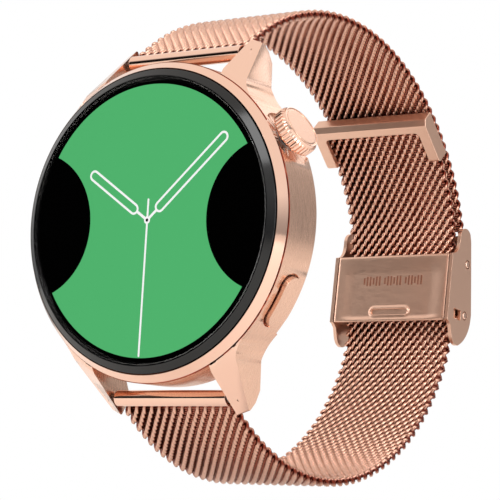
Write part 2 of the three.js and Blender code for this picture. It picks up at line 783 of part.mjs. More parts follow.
const BUTTON_FACE = CASE_RADIUS + BUTTON_RISE;
const BUTTON_INNER = RECESS_FLOOR + BUTTON_TRAVEL + 0.2;
const PLUNGER_END = CASE_INNER_RADIUS - 1.3;
const BUTTON_SWITCH_END = PLUNGER_END - BUTTON_TRAVEL - 0.2;

add(
  "side_button",
  common(
    prismX(oblong(BUTTON_WIDTH, BUTTON_LENGTH), BUTTON_INNER, BUTTON_FACE + 1),
    rodY(BUTTON_FACE, -BUTTON_WIDTH, BUTTON_WIDTH, 0, 0, 96),
  ),
  ROSE_GOLD,
  buttonGroup,
);
add(
  "button_plunger",
  joined(
    rodX(PLUNGER_RADIUS, PLUNGER_END, BUTTON_INNER - 0.05, 0, 0, 16),
    rodX(PLUNGER_RADIUS + 0.5, PLUNGER_END, PLUNGER_END + 0.5, 0, 0, 16),
  ),
  STEEL,
  buttonGroup,
);
add(
  "button_seal",
  turnedX(
    [
      [PLUNGER_RADIUS + 0.08, PLUNGER_END + 0.6],
      [PLUNGER_RADIUS + 0.5, PLUNGER_END + 0.6],
      [PLUNGER_RADIUS + 0.5, PLUNGER_END + 1.0],
      [PLUNGER_RADIUS + 0.08, PLUNGER_END + 1.0],
    ],
    16,
  ),
  RUBBER,
  buttonGroup,
);
add(
  "button_switch",
  joined(
    box(BUTTON_SWITCH_END - 1.3, BUTTON_SWITCH_END - 0.4, -1.5, 1.5, -1.8, 1.8),
    rodX(0.8, BUTTON_SWITCH_END - 0.6, BUTTON_SWITCH_END),
  ),
  BLACK_PLASTIC,
  buttonGroup,
);

// ---- The straps ----

function loopHeight(loop) {
  return TUBE_Z + loop.beyondTube;
}

function onLoop(loop, angle) {
  const turn = THREE.MathUtils.degToRad(angle);
  return new THREE.Vector3(0, loop.y + loop.depth * Math.cos(turn), loop.z + loopHeight(loop) * Math.sin(turn));
}

// A strap's centre line: out of its end tube, round the loop, and flat where the clasp holds it.
function strapPath(loop, side, angles, flat) {
  const tube = new THREE.Vector3(0, TUBE_Y, side * TUBE_Z);
  const first = onLoop(loop, angles[0]);
  const away = first.clone().sub(tube).normalize();
  const points = [tube.clone().addScaledVector(away, TUBE_RADIUS + 0.25)];
  angles.forEach((angle) => {
    const point = onLoop(loop, angle);
    const inClasp = flat && Math.abs(point.z - (CLASP_FLAT_TOP + CLASP_FLAT_BOTTOM) / 2) < 9.5 && point.y > loop.y;
    if (!inClasp) points.push(point);
    else if (!points.flatDone) {
      points.flatDone = true;
      points.push(new THREE.Vector3(0, CLASP_FLAT_Y - 0.12, CLASP_FLAT_BOTTOM));
      points.push(new THREE.Vector3(0, CLASP_FLAT_Y, CLASP_FLAT_TOP));
    }
  });
  return new THREE.CatmullRomCurve3(points, false, "centripetal");
}

function steps(from, to, count) {
  return Array.from({ length: count + 1 }, (_, i) => from + ((to - from) * i) / count);
}

const lowerPath = strapPath(LOWER_LOOP, -1, steps(-LOOP_START, LOWER_STRAP_END, 18), true);
const upperEndAngle = THREE.MathUtils.radToDeg(
  Math.asin((END_BAR_Z + END_BAR_HEIGHT + 2 * SIDE_GAP - UPPER_LOOP.z) / loopHeight(UPPER_LOOP)),
);
const upperPath = strapPath(UPPER_LOOP, 1, steps(LOOP_START, upperEndAngle, 12), false);

function strapMesh(path, count) {
  const half = STRAP_THICKNESS / 2;
  const edge = 0.4;
  const section = new THREE.Shape();
  section.moveTo(-STRAP_HALF + edge, -half);
  section.lineTo(STRAP_HALF - edge, -half);
  section.lineTo(STRAP_HALF, -half + edge);
  section.lineTo(STRAP_HALF, half - edge);
  section.lineTo(STRAP_HALF - edge, half);
  section.lineTo(-STRAP_HALF + edge, half);
  section.lineTo(-STRAP_HALF, half - edge);
  section.lineTo(-STRAP_HALF, -half + edge);
  section.closePath();
  return new THREE.ExtrudeGeometry(section, { steps: count, extrudePath: path });
}

add("lower_strap_mesh", strapMesh(lowerPath, 46), ROSE_GOLD);
add("upper_strap_mesh", strapMesh(upperPath, 36), ROSE_GOLD);

// The end tube, the spring bar inside it, and the bar's release pin with its thumb lever.
const LEVER_X = STRAP_HALF - 3.2;
const LEVER_HALF = 0.45;
const LEVER_RISE = 0.6;

// Lays a piece made along +Z from the tube's own axis on the side that faces the wrist.
function onTube(geometry, side) {
  const lean = THREE.MathUtils.degToRad(side > 0 ? 115 : 65);
  return geometry.rotateX(-lean).translate(0, TUBE_Y, side * TUBE_Z);
}

function endTube(side) {
  const shell = cut(
    rodX(TUBE_RADIUS, -TUBE_HALF, TUBE_HALF, TUBE_Y, side * TUBE_Z, 24),
    rodX(TUBE_BORE_RADIUS, -TUBE_HALF - 1, TUBE_HALF + 1, TUBE_Y, side * TUBE_Z, 16),
  );
  const leverSlot = onTube(
    box(
      -LEVER_X - LEVER_HALF - SEAT_GAP,
      -LEVER_X + LEVER_HALF + SEAT_GAP + RELEASE_TRAVEL,
      -LEVER_HALF,
      LEVER_HALF,
      0,
      TUBE_RADIUS + 1,
    ),
    side,
  );
  return cut(shell, leverSlot);
}

const SPRING_BAR_END = -4.4;

function springBar(side) {
  return joined(
    rodX(BAR_RADIUS, SPRING_BAR_END, STRAP_HALF, TUBE_Y, side * TUBE_Z),
    rodX(BAR_TIP_RADIUS, STRAP_HALF - 0.5, STRAP_HALF + BAR_TIP_REACH, TUBE_Y, side * TUBE_Z),
  );
}

const RELEASE_INNER = -LEVER_X + LEVER_HALF;

function releasePin(side) {
  return joined(
    rodX(BAR_RADIUS, -STRAP_HALF, RELEASE_INNER, TUBE_Y, side * TUBE_Z),
    rodX(BAR_TIP_RADIUS, -STRAP_HALF - BAR_TIP_REACH, -STRAP_HALF + 0.5, TUBE_Y, side * TUBE_Z),
    onTube(
      box(-LEVER_X - LEVER_HALF, -LEVER_X + LEVER_HALF, -0.3, 0.3, 0, TUBE_RADIUS + LEVER_RISE),
      side,
    ),
  );
}

function barSpring(side) {
  return turnedX(
    [
      [BAR_RADIUS - 0.25, RELEASE_INNER + 0.1],
      [BAR_RADIUS, RELEASE_INNER + 0.1],
      [BAR_RADIUS, SPRING_BAR_END - 0.1],
      [BAR_RADIUS - 0.25, SPRING_BAR_END - 0.1],
    ],
    12,
  ).translate(0, TUBE_Y, side * TUBE_Z);
}

[
  ["upper", 1],
  ["lower", -1],
].forEach(([name, side]) => {
  add(name + "_end_tube", endTube(side), POLISHED_ROSE_GOLD);
  add(name + "_spring_bar", springBar(side), STEEL);
  add(name + "_release_pin", releasePin(side), STEEL);
  add(name + "_bar_spring", barSpring(side), STEEL);
});

// ---- The keeper frame on the lower strap's free end ----

const endPoint = lowerPath.getPointAt(1);
const endTangent = lowerPath.getTangentAt(1);

// Lays a piece made flat, +Z along the strap and +Y out of the loop, at the strap's free end.
function atStrapEnd(geometry) {
  const turn = Math.atan2(-endTangent.y, endTangent.z);
  return geometry.rotateX(turn).translate(0, endPoint.y, endPoint.z);
}

const KEEPER_TOP = SIDE_GAP + 0.9;
const KEEPER_BACK = STRAP_THICKNESS / 2 - 0.1;
const KEEPER_FACE = -STRAP_THICKNESS / 2 - KEEPER_RISE;

function keeper() {
  const block = prismX(
    [
      [KEEPER_BACK, KEEPER_TOP],
      [KEEPER_FACE + 0.8, KEEPER_TOP],
      [KEEPER_FACE, KEEPER_TOP - 0.9],
      [KEEPER_FACE, KEEPER_TOP - KEEPER_LENGTH + 0.6],
      [KEEPER_FACE + 0.6, KEEPER_TOP - KEEPER_LENGTH],
      [KEEPER_BACK, KEEPER_TOP - KEEPER_LENGTH],
    ],
    -KEEPER_HALF_WIDTH,
    KEEPER_HALF_WIDTH,
  );
  const strapRoom = box(
    -STRAP_HALF - SIDE_GAP,
    STRAP_HALF + SIDE_GAP,
    -STRAP_THICKNESS / 2 - SEAT_GAP,
    KEEPER_BACK + 2,
    -40,
    SIDE_GAP,
  );
  const windowHalf = KEEPER_HALF_WIDTH - KEEPER_LEG_WIDTH;
  const opening = prismY(
    [
      [-windowHalf, -40],
      [windowHalf, -40],
      ...arc(windowHalf - 0.8, KEEPER_TOP - KEEPER_BAR_HEIGHT - 0.8, 0.8, 0, 90, 3),
      ...arc(-windowHalf + 0.8, KEEPER_TOP - KEEPER_BAR_HEIGHT - 0.8, 0.8, 90, 180, 3),
    ],
    KEEPER_FACE - 1,
    KEEPER_BACK + 1,
  );
  return cut(block, strapRoom, opening);
}

add("strap_end_cap", atStrapEnd(keeper()), ROSE_GOLD);

// ---- The clasp ----

const PLATE_LEAN = Math.atan2(PLATE_TOP.y - PLATE_BOTTOM.y, PLATE_TOP.z - PLATE_BOTTOM.z);

// The side wall: behind the plate's edge, with a round ear above and below it.
function wallOutline() {
  return [
    [PLATE_BOTTOM.y, PLATE_BOTTOM.z],
    [PLATE_TOP.y, PLATE_TOP.z],
    ...bend([PLATE_TOP.y + 0.5, PLATE_TOP.z + 0.1], [58.3, 3.1], [58.6, 5.2], 4),
    ...arc(60.4, 5.6, 1.75, 170, 30, 6),
    [62.2, 5.3],
    [62.5, -0.7],
    [62.75, -6.9],
    ...bend([62.5, -8.2], [61.6, -11.2], [58.6, -12.3], 5),
    ...bend([58.0, -12.3], [56.6, -12.0], [56.3, -10.2], 3),
    [56.1, -9.2],
    [PLATE_BOTTOM.y + 0.5, PLATE_BOTTOM.z - 0.2],
  ];
}

function pinHole(place, radius, reach = WALL_OUTER_X + 1) {
  return rodX(radius, -reach, reach, place.y, place.z, 16);
}

function latchWindow() {
  const { width, height, y, z } = LATCH_WINDOW;
  return box(-width / 2, width / 2, -1, 1, -height / 2, height / 2)
    .rotateZ(Math.PI / 2)
    .rotateX(-0.12)
    .scale(2 * WALL_OUTER_X, 1, 1)
    .translate(0, y, z);
}

function claspFrame() {
  const leftWall = prismX(wallOutline(), -WALL_OUTER_X, -WALL_INNER_X);
  const rightWall = prismX(wallOutline(), WALL_INNER_X, WALL_OUTER_X);
  const web = prismX(
    [
      [CLASP_FLAT_Y + STRAP_THICKNESS / 2 + SIDE_GAP, -5.6],
      [CLASP_FLAT_Y + STRAP_THICKNESS / 2 + SIDE_GAP, 0.1],
      [CLASP_FLAT_Y + STRAP_THICKNESS / 2 + SIDE_GAP + 0.6, 0.1],
      [CLASP_FLAT_Y + STRAP_THICKNESS / 2 + SIDE_GAP + 0.6, -5.6],
    ],
    -WALL_INNER_X - 0.1,
    WALL_INNER_X + 0.1,
  );
  return cut(
    joined(web, leftWall, rightWall),
    pinHole(UPPER_PIN, CLASP_PIN_RADIUS + SEAT_GAP),
    pinHole(CATCH_PIN, CLASP_PIN_RADIUS + SEAT_GAP),
    pinHole(PLATE_HINGE, PLATE_HINGE_RADIUS + TURN_GAP, WALL_OUTER_X - 0.2),
    latchWindow(),
  );
}

add("clasp_frame", claspFrame(), ROSE_GOLD);

function claspPin(place) {
  return rodX(CLASP_PIN_RADIUS, -WALL_OUTER_X - 0.05, WALL_OUTER_X + 0.05, place.y, place.z, 16);
}

add("clasp_cross_pin", claspPin(UPPER_PIN), ROSE_GOLD);
add("clasp_catch_pin", claspPin(CATCH_PIN), ROSE_GOLD);
add(
  "lock_hinge_pin",
  rodX(PLATE_HINGE_RADIUS, -WALL_OUTER_X + 0.3, WALL_OUTER_X - 0.3, PLATE_HINGE.y, PLATE_HINGE.z, 16),
  STEEL,
);

// The lock plate turns on its hinge pin between the walls; its cheeks carry the latch bumps.
function lockPlate() {
  const half = WALL_INNER_X - 0.2;
  const cheek = 0.4;
  const plate = prismX(
    [
      [PLATE_BOTTOM.y, PLATE_BOTTOM.z],
      [PLATE_TOP.y, PLATE_TOP.z],
      [PLATE_TOP.y + PLATE_THICKNESS, PLATE_TOP.z],
      [PLATE_BOTTOM.y + PLATE_THICKNESS, PLATE_BOTTOM.z],
    ],
    -half,
    half,
  );
  const cheekOutline = [
    [PLATE_BOTTOM.y + 0.2, PLATE_BOTTOM.z],
    [PLATE_BOTTOM.y + 1.0, -4.6],
    [LATCH_WINDOW.y + 0.7, -6.0],
    [LATCH_WINDOW.y + 0.7, PLATE_BOTTOM.z],
  ];
  const bump = (side) =>
    box(
      side > 0 ? half - 0.1 : -half - 0.12,
      side > 0 ? half + 0.12 : -half + 0.1,
      LATCH_WINDOW.y - 0.7,
      LATCH_WINDOW.y + 0.5,
      LATCH_WINDOW.z - 0.5,
      LATCH_WINDOW.z + 0.5,
    );
  const knuckle = rodX(PLATE_HINGE_RADIUS + 0.45, -half, half, PLATE_HINGE.y, PLATE_HINGE.z, 16);
  const slotMiddle = { y: PLATE_BOTTOM.y + 0.25, z: PLATE_BOTTOM.z + 1.8 };
  const slot = prismY(
    oblong(PRY_SLOT.height, PRY_SLOT.length).map(([a, b]) => [b, a]).reverse(),
    -3,
    3,
  )
    .rotateX(-PLATE_LEAN)
    .translate(0, slotMiddle.y, slotMiddle.z);
  return cut(
    joined(
      plate,
      knuckle,
      prismX(cheekOutline, half - cheek, half),
      prismX(cheekOutline, -half, -half + cheek),
      bump(1),
      bump(-1),
    ),
    pinHole(PLATE_HINGE, PLATE_HINGE_RADIUS + TURN_GAP),
    slot,
  );
}

add("lock_plate", lockPlate(), ROSE_GOLD);

// The upper strap's end bar, with the middle knuckle of the cover's hinge
const KNUCKLE_RADIUS = COVER_HINGE_RADIUS + 0.45;
const BAR_KNUCKLE_HALF = 4;

const upperEnd = upperPath.getPointAt(1);
const endBarInner = upperEnd.y - STRAP_THICKNESS / 2 - 0.5;
const knuckleRoom = KNUCKLE_RADIUS + SIDE_GAP;

add(
  "upper_end_bar",
  cut(
    joined(
      box(
        -STRAP_HALF,
        STRAP_HALF,
        endBarInner,
        COVER_HINGE.y - knuckleRoom,
        END_BAR_Z,
        END_BAR_Z + END_BAR_HEIGHT,
      ),
      box(
        -STRAP_HALF,
        STRAP_HALF,
        endBarInner,
        upperEnd.y + STRAP_THICKNESS / 2 - 0.1,
        COVER_HINGE.z + knuckleRoom,
        END_BAR_Z + END_BAR_HEIGHT,
      ),
      rodX(KNUCKLE_RADIUS, -BAR_KNUCKLE_HALF, BAR_KNUCKLE_HALF, COVER_HINGE.y, COVER_HINGE.z, 16),
      box(
        -BAR_KNUCKLE_HALF,
        BAR_KNUCKLE_HALF,
        endBarInner + 0.2,
        COVER_HINGE.y,
        COVER_HINGE.z - KNUCKLE_RADIUS,
        COVER_HINGE.z + KNUCKLE_RADIUS,
      ),
    ),
    pinHole(COVER_HINGE, COVER_HINGE_RADIUS + TURN_GAP),
  ),
  ROSE_GOLD,
);
add(
  "cover_hinge_pin",
  rodX(COVER_HINGE_RADIUS, -STRAP_HALF + 0.3, STRAP_HALF - 0.3, COVER_HINGE.y, COVER_HINGE.z, 16),
  STEEL,
);

// The cover: it folds down over the clasp, and its lip hooks under the catch pin.
function claspCover() {
  const half = WALL_INNER_X - 0.4;
  const inner = CATCH_PIN.y + CLASP_PIN_RADIUS + COVER_GAP;
  const lipTop = CATCH_PIN.z - CLASP_PIN_RADIUS - HOOK_SLACK;
  const outline = [
    [COVER_HINGE.y + KNUCKLE_RADIUS - COVER_THICKNESS, COVER_HINGE.z],
    [COVER_HINGE.y + KNUCKLE_RADIUS, COVER_HINGE.z],
    [inner + COVER_THICKNESS + 0.8, -2],
    [inner + COVER_THICKNESS, lipTop - COVER_THICKNESS],
    [CATCH_PIN.y, lipTop - COVER_THICKNESS],
    [CATCH_PIN.y, lipTop],
    [inner, lipTop],
    [inner + 0.8, -2],
  ];
  const knuckles = [-1, 1].map((side) => {
    const near = side * (BAR_KNUCKLE_HALF + SIDE_GAP);
    const far = side * half;
    return rodX(KNUCKLE_RADIUS, Math.min(near, far), Math.max(near, far), COVER_HINGE.y, COVER_HINGE.z, 16);
  });
  const barRoom = box(
    -BAR_KNUCKLE_HALF - SIDE_GAP,
    BAR_KNUCKLE_HALF + SIDE_GAP,
    COVER_HINGE.y - 3,
    COVER_HINGE.y + 3,
    COVER_HINGE.z - KNUCKLE_RADIUS - SIDE_GAP,
    COVER_HINGE.z + 3,
  );
  return cut(
    joined(prismX(outline, -half, half), ...knuckles),
    barRoom,
    pinHole(COVER_HINGE, COVER_HINGE_RADIUS + TURN_GAP),
  );
}

add("clasp_cover", claspCover(), ROSE_GOLD);

export default watch;
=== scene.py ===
"""A round smartwatch on a woven mesh bracelet, as an add-on with one operator for each group of pieces."""

import math

import bmesh
import bpy
from mathutils import Matrix, Vector
from mathutils.geometry import tessellate_polygon


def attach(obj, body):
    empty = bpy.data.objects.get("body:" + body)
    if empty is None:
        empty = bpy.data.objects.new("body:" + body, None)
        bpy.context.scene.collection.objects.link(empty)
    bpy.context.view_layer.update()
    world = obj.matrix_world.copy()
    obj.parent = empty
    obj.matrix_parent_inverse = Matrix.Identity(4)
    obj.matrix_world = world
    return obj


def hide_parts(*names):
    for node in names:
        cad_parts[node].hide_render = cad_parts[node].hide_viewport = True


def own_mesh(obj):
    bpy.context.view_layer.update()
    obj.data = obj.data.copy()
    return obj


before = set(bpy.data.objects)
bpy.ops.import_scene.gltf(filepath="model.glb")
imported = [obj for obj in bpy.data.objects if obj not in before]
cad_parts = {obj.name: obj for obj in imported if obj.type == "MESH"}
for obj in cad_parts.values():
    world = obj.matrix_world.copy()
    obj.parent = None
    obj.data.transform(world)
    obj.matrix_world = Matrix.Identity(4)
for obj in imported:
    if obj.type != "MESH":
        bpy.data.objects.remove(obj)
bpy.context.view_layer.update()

bl_info = {
    "name": "Mesh bracelet smartwatch",
    "version": (1, 0, 0),
    "blender": (4, 5, 0),
    "location": "View3D > Sidebar > Watch",
    "description": "Builds the detailed surface of a smartwatch on a woven mesh bracelet",
    "category": "Add Mesh",
}

MM = 0.001

# ---- The watch's own dimensions in millimetres, as the CAD has them ----

CASE_RADIUS, CASE_INNER = 23.45, 21.4
CASE_BACK_Y, CASE_FRONT_Y, MID_Y = -2.1, -9.3, -5.7
GLASS_RADIUS, GLASS_FRONT_Y, GLASS_THICKNESS = 20.9, -11.6, 0.45
DISPLAY_RADIUS, DISPLAY_FRONT_Y, DISPLAY_BACK_Y = 20.4, -11.06, -9.65
TUBE_Y, TUBE_Z, TUBE_RADIUS, TUBE_BORE = -3.3, 25.1, 1.2, 0.85
LUG_INNER_X, LUG_TIP_Z, LUG_APEX_X, LUG_APEX_Z = 10.6, 27.4, 14.6, 19.55
LUG_TIP_WIDTH, LUG_BACK_Y, LUG_ROOT_Z, LUG_TIP_BLEND = 1.75, -0.3, 14, 0.7
SHOULDER_RADIUS, SHOULDER_DROP = 24.25, 0.6
CROWN_ANGLE, BUTTON_ANGLE = 30, -30
LOWER_LOOP, UPPER_LOOP = (23.7, -1.43, 36.55, 34.54), (23.74, -3.63, 39.6, 39.2)
FLAT_Y, FLAT_TOP, FLAT_BOTTOM = 59.0, 3.2, -7.4
WALL_OUTER_X, WALL_INNER_X = 11.5, 10.9
UPPER_PIN, CATCH_PIN, PLATE_HINGE, COVER_HINGE = (61.2, 1.4), (60.65, -7.2), (57.05, 1.9), (62.35, 4.3)
LATCH_WINDOW = (58.1, -7.15)
PLATE_TOP, PLATE_BOTTOM, PLATE_THICKNESS = (56.3, 2.8), (55.0, -8.3), 0.55
SCREWS, SCREW_CIRCLE = 4, 17.9
CONTACT_X, CONTACT_Z, EMITTERS = 2.7, -16.2, 4
SCALLOP_RADIUS, BUSH_BORE, PLUNGER_BORE, RECESS_WIDTH, RECESS_LENGTH = 4.3, 2.05, 0.85, 4.6, 8.6
SOCKET_RADIUS, SOCKET_FROM, SOCKET_TO = 0.5, 9.6, 11.8
CROWN_RADIUS, CROWN_TEETH = 3.7, 36
BUTTON_WIDTH, BUTTON_LENGTH, BUTTON_FACE_RADIUS = 3.96, 7.96, 24.2
STRAP_HALF_THICKNESS = 0.95
WEAVE_TURNS_WIDTH, WEAVE_HALF_WIDTH, CROSS_WIRE_HALF = 19.5, 10.25, 9.7
TUBE_HALF, COVER_HALF, PLATE_HALF = 10.1, 10.5, 10.7
PIN_BORE, KNUCKLE_RADIUS = 0.5, 0.8
COIL_ENDS, COIL_TURNS, COIL_STEPS, COIL_RADIUS, COIL_WIRE = (-6.22, -4.5), 4, 20, 0.52, 0.055


# ---- Sizes and colours a user can change ----


def length(name, description, millimetres, **more):
    """A size that a user can change, given in millimetres."""
    return bpy.props.FloatProperty(
        name=name, description=description, default=millimetres * MM, unit="LENGTH", precision=5, min=0.0, **more
    )


def linear(code):
    """An sRGB hex colour as linear RGB."""
    parts = [int(code[i : i + 2], 16) / 255 for i in (1, 3, 5)]
    return tuple(p / 12.92 if p <= 0.04045 else ((p + 0.055) / 1.055) ** 2.4 for p in parts)


def colour(name, description, code):
    """A colour that a user can change, given as an sRGB hex value."""
    return bpy.props.FloatVectorProperty(
        name=name, description=description, default=linear(code), subtype="COLOR", size=3, min=0.0, max=1.0
    )


class WatchSizes(bpy.types.PropertyGroup):
    edge: length("Case edge", "How far the case's edges are broken", 0.07)
    clasp_edge: length("Clasp edge", "How far the clasp's edges are broken", 0.09)
    row_spacing: length("Row spacing", "From one row of the weave to the next", 0.875)
    wire_pitch: length("Wire pitch", "Width of one turn of the woven wire", 1.393)
    wire_radius: length("Wire radius", "Radius of the woven wire", 0.29)
    wire_reach: length("Wire reach", "How far a turn reaches along the strap from its row", 0.68)
    tooth_depth: length("Knurl depth", "How far the crown's teeth stand out", 0.24)
    plate_dish: length("Plate dish", "How deep the lock plate's middle lies below its border", 0.2)


class WatchColours(bpy.types.PropertyGroup):
    gold: colour("Rose gold", "Brushed and satin parts", "#E9BFA8")
    polish: colour("Polished rose gold", "Front ring, lug facets and tubes", "#F6CDB8")
    wire: colour("Woven wire", "The bracelet's wire", "#E9BBA5")
    picture: colour("Face picture", "The lit shape on the watch face", "#53B871")


# ---- Shapes, in millimetres until a piece is finished ----


def placed(name, data):
    """A new object for the data, in the scene."""
    obj = bpy.data.objects.new(name, data)
    bpy.context.scene.collection.objects.link(obj)
    return obj


def from_faces(name, points, faces):
    """An object from its points and faces, with the faces turned outwards."""
    mesh = bpy.data.meshes.new(name)
    work = bmesh.new()
    made = [work.verts.new(p) for p in points]
    for face in faces:
        work.faces.new([made[i] for i in face])
    bmesh.ops.recalc_face_normals(work, faces=work.faces)
    work.to_mesh(mesh)
    work.free()
    return placed(name, mesh)


def moved(obj, matrix):
    """Moves the mesh itself, and keeps a mirrored one right side out."""
    obj.data.transform(matrix)
    if matrix.determinant() < 0:
        obj.data.flip_normals()
    return obj


ALONG_X = Matrix(((0, 1, 0, 0), (1, 0, 0, 0), (0, 0, -1, 0), (0, 0, 0, 1)))


def radial(angle):
    """The frame whose +X points out of the case at an angle above 3 o'clock."""
    return Matrix.Translation((0, MID_Y, 0)) @ Matrix.Rotation(-math.radians(angle), 4, "Y")


def turned(profile, segments=192, matrix=None):
    """A closed solid of revolution about Y, from a profile of (radius, y)."""
    points, rings = [], []
    for radius, y in profile:
        if radius < 1e-9:
            rings.append([len(points)] * segments)
            points.append((0, y, 0))
            continue
        rings.append(list(range(len(points), len(points) + segments)))
        for i in range(segments):
            a = 2 * math.pi * i / segments
            points.append((radius * math.cos(a), y, radius * math.sin(a)))
    faces = []
    for one, two in zip(rings, rings[1:] + rings[:1]):
        if one[0] == one[1] and two[0] == two[1]:
            continue
        for i in range(segments):
            j = (i + 1) % segments
            faces.append(list(dict.fromkeys((one[i], one[j], two[j], two[i]))))
    obj = from_faces("turned", points, faces)
    return moved(obj, matrix) if matrix else obj


def turned_x(profile, segments=96, y=0.0, z=0.0):
    """The same about an axis along X, from a profile of (radius, x)."""
    return turned(profile, segments, Matrix.Translation((0, y, z)) @ ALONG_X)


def rod_x(radius, x0, x1, y=0.0, z=0.0, segments=48):
    return turned_x([(0, x0), (radius, x0), (radius, x1), (0, x1)], segments, y, z)


def rod_y(radius, y0, y1, x=0.0, z=0.0, segments=48):
    return turned([(0, y0), (radius, y0), (radius, y1), (0, y1)], segments, Matrix.Translation((x, 0, z)))


def prism(outline, low, high, place):
    """A flat outline drawn out between two heights; place turns (a, b, height) into a point."""
    count = len(outline)
    points = [place(a, b, h) for h in (low, high) for a, b in outline]
    faces = [list(range(count)), list(range(count, 2 * count))]
    faces += [[i, (i + 1) % count, count + (i + 1) % count, count + i] for i in range(count)]
    return from_faces("prism", points, faces)


def prism_x(outline, x0, x1):
    return prism(outline, x0, x1, lambda y, z, x: (x, y, z))


def prism_y(outline, y0, y1):
    return prism(outline, y0, y1, lambda x, z, y: (x, y, z))


def box(x0, x1, y0, y1, z0, z1):
    return prism_x([(y0, z0), (y1, z0), (y1, z1), (y0, z1)], x0, x1)


def arc(a, b, radius, start, end, steps):
    """Points on an arc about (a, b), from one angle to another in degrees."""
    turn = [math.radians(start + (end - start) * i / steps) for i in range(steps + 1)]
    return [(a + radius * math.cos(t), b + radius * math.sin(t)) for t in turn]


def bend(start, corner, end, steps):
    """Points that leave one point towards a corner and arrive at another."""
    out = []
    for i in range(steps + 1):
        t = i / steps
        out.append(tuple((1 - t) ** 2 * s + 2 * t * (1 - t) * c + t * t * e for s, c, e in zip(start, corner, end)))
    return out


def oblong(width, size, steps=16):
    """A slot's outline with round ends, long in the second direction."""
    radius = width / 2
    reach = size / 2 - radius
    return arc(0, reach, radius, 0, 180, steps) + arc(0, -reach, radius, 180, 360, steps)


# ---- Joining, cutting and finishing ----


def evaluated(obj):
    """Takes in the object's modifiers."""
    depsgraph = bpy.context.evaluated_depsgraph_get()
    mesh = bpy.data.meshes.new_from_object(obj.evaluated_get(depsgraph), depsgraph=depsgraph)
    obj.modifiers.clear()
    old, obj.data = obj.data, mesh
    bpy.data.meshes.remove(old)
    return obj


def combined(obj, operation, others):
    """Cuts, joins or intersects the object with others, which are used up."""
    for other in others:
        modifier = obj.modifiers.new("combine", "BOOLEAN")
        modifier.operation, modifier.solver, modifier.object = operation, "EXACT", other
    evaluated(obj)
    for other in others:
        bpy.data.objects.remove(other)
    return obj


def cut(obj, *others):
    return combined(obj, "DIFFERENCE", others)


def joined(obj, *others):
    return combined(obj, "UNION", others)


def common(obj, *others):
    return combined(obj, "INTERSECT", others)


def copied(obj, matrix):
    """A moved copy of the object."""
    return moved(placed(obj.name, obj.data.copy()), matrix)


def softened(obj, width, segments=3, angle=32):
    """Breaks the sharp edges by a width in millimetres."""
    work = bmesh.new()
    work.from_mesh(obj.data)
    bmesh.ops.remove_doubles(work, verts=work.verts, dist=0.002)
    bmesh.ops.dissolve_degenerate(work, edges=work.edges, dist=0.002)
    work.to_mesh(obj.data)
    work.free()
    bevel = obj.modifiers.new("edge", "BEVEL")
    bevel.width, bevel.segments, bevel.limit_method = width, segments, "ANGLE"
    bevel.angle_limit, bevel.use_clamp_overlap, bevel.miter_outer = math.radians(angle), True, "MITER_ARC"
    return evaluated(obj)


def finished(obj, name, materials, body, replaces=(), smooth=35, choose=None, weighted=True):
    """Names a piece, gives it its materials, scales it to metres and hands it to its body."""
    obj.name = obj.data.name = name
    obj.data.materials.clear()
    for material in materials if isinstance(materials, (list, tuple)) else [materials]:
        obj.data.materials.append(material)
    for polygon in obj.data.polygons:
        polygon.material_index = choose(polygon) if choose else 0
    obj.data.shade_smooth()
    obj.data.set_sharp_from_angle(angle=math.radians(smooth))
    if weighted:
        weight = obj.modifiers.new("normals", "WEIGHTED_NORMAL")
        weight.keep_sharp, weight.weight = True, 70
        evaluated(obj)
    obj.data.transform(Matrix.Scale(MM, 4))
    if len(obj.data.polygons) == 0:
        raise RuntimeError(name + " came out empty")
    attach(obj, body)
    if replaces:
        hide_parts(*replaces)
    return obj


# ---- Geometry Nodes ----


def add_node(tree, kind, values=(), **settings):
    """One node: its settings first, then its sockets' values or the sockets that feed them."""
    node = tree.nodes.new(kind)
    for key, value in settings.items():
        setattr(node, key, value)
    for key, value in dict(values).items():
        if isinstance(value, bpy.types.NodeSocket):
            tree.links.new(value, node.inputs[key])
        else:
            node.inputs[key].default_value = value
    return node


def node_group(name, sockets):
    """A Geometry Nodes tree and its named inputs."""
    tree = bpy.data.node_groups.new(name, "GeometryNodeTree")
    tree.interface.new_socket("Geometry", in_out="OUTPUT", socket_type="NodeSocketGeometry")
    tree.interface.new_socket("Geometry", in_out="INPUT", socket_type="NodeSocketGeometry")
    for label, kind in sockets:
        tree.interface.new_socket(label, in_out="INPUT", socket_type=kind)
    return tree, tree.nodes.new("NodeGroupInput").outputs


def close_group(tree, geometry, material):
    """Every tree ends in real, coloured geometry."""
    real = add_node(tree, "GeometryNodeRealizeInstances", {0: geometry})
    done = add_node(tree, "GeometryNodeSetMaterial", {0: real.outputs[0], "Material": material})
    tree.links.new(done.outputs[0], tree.nodes.new("NodeGroupOutput").inputs[0])
    return tree


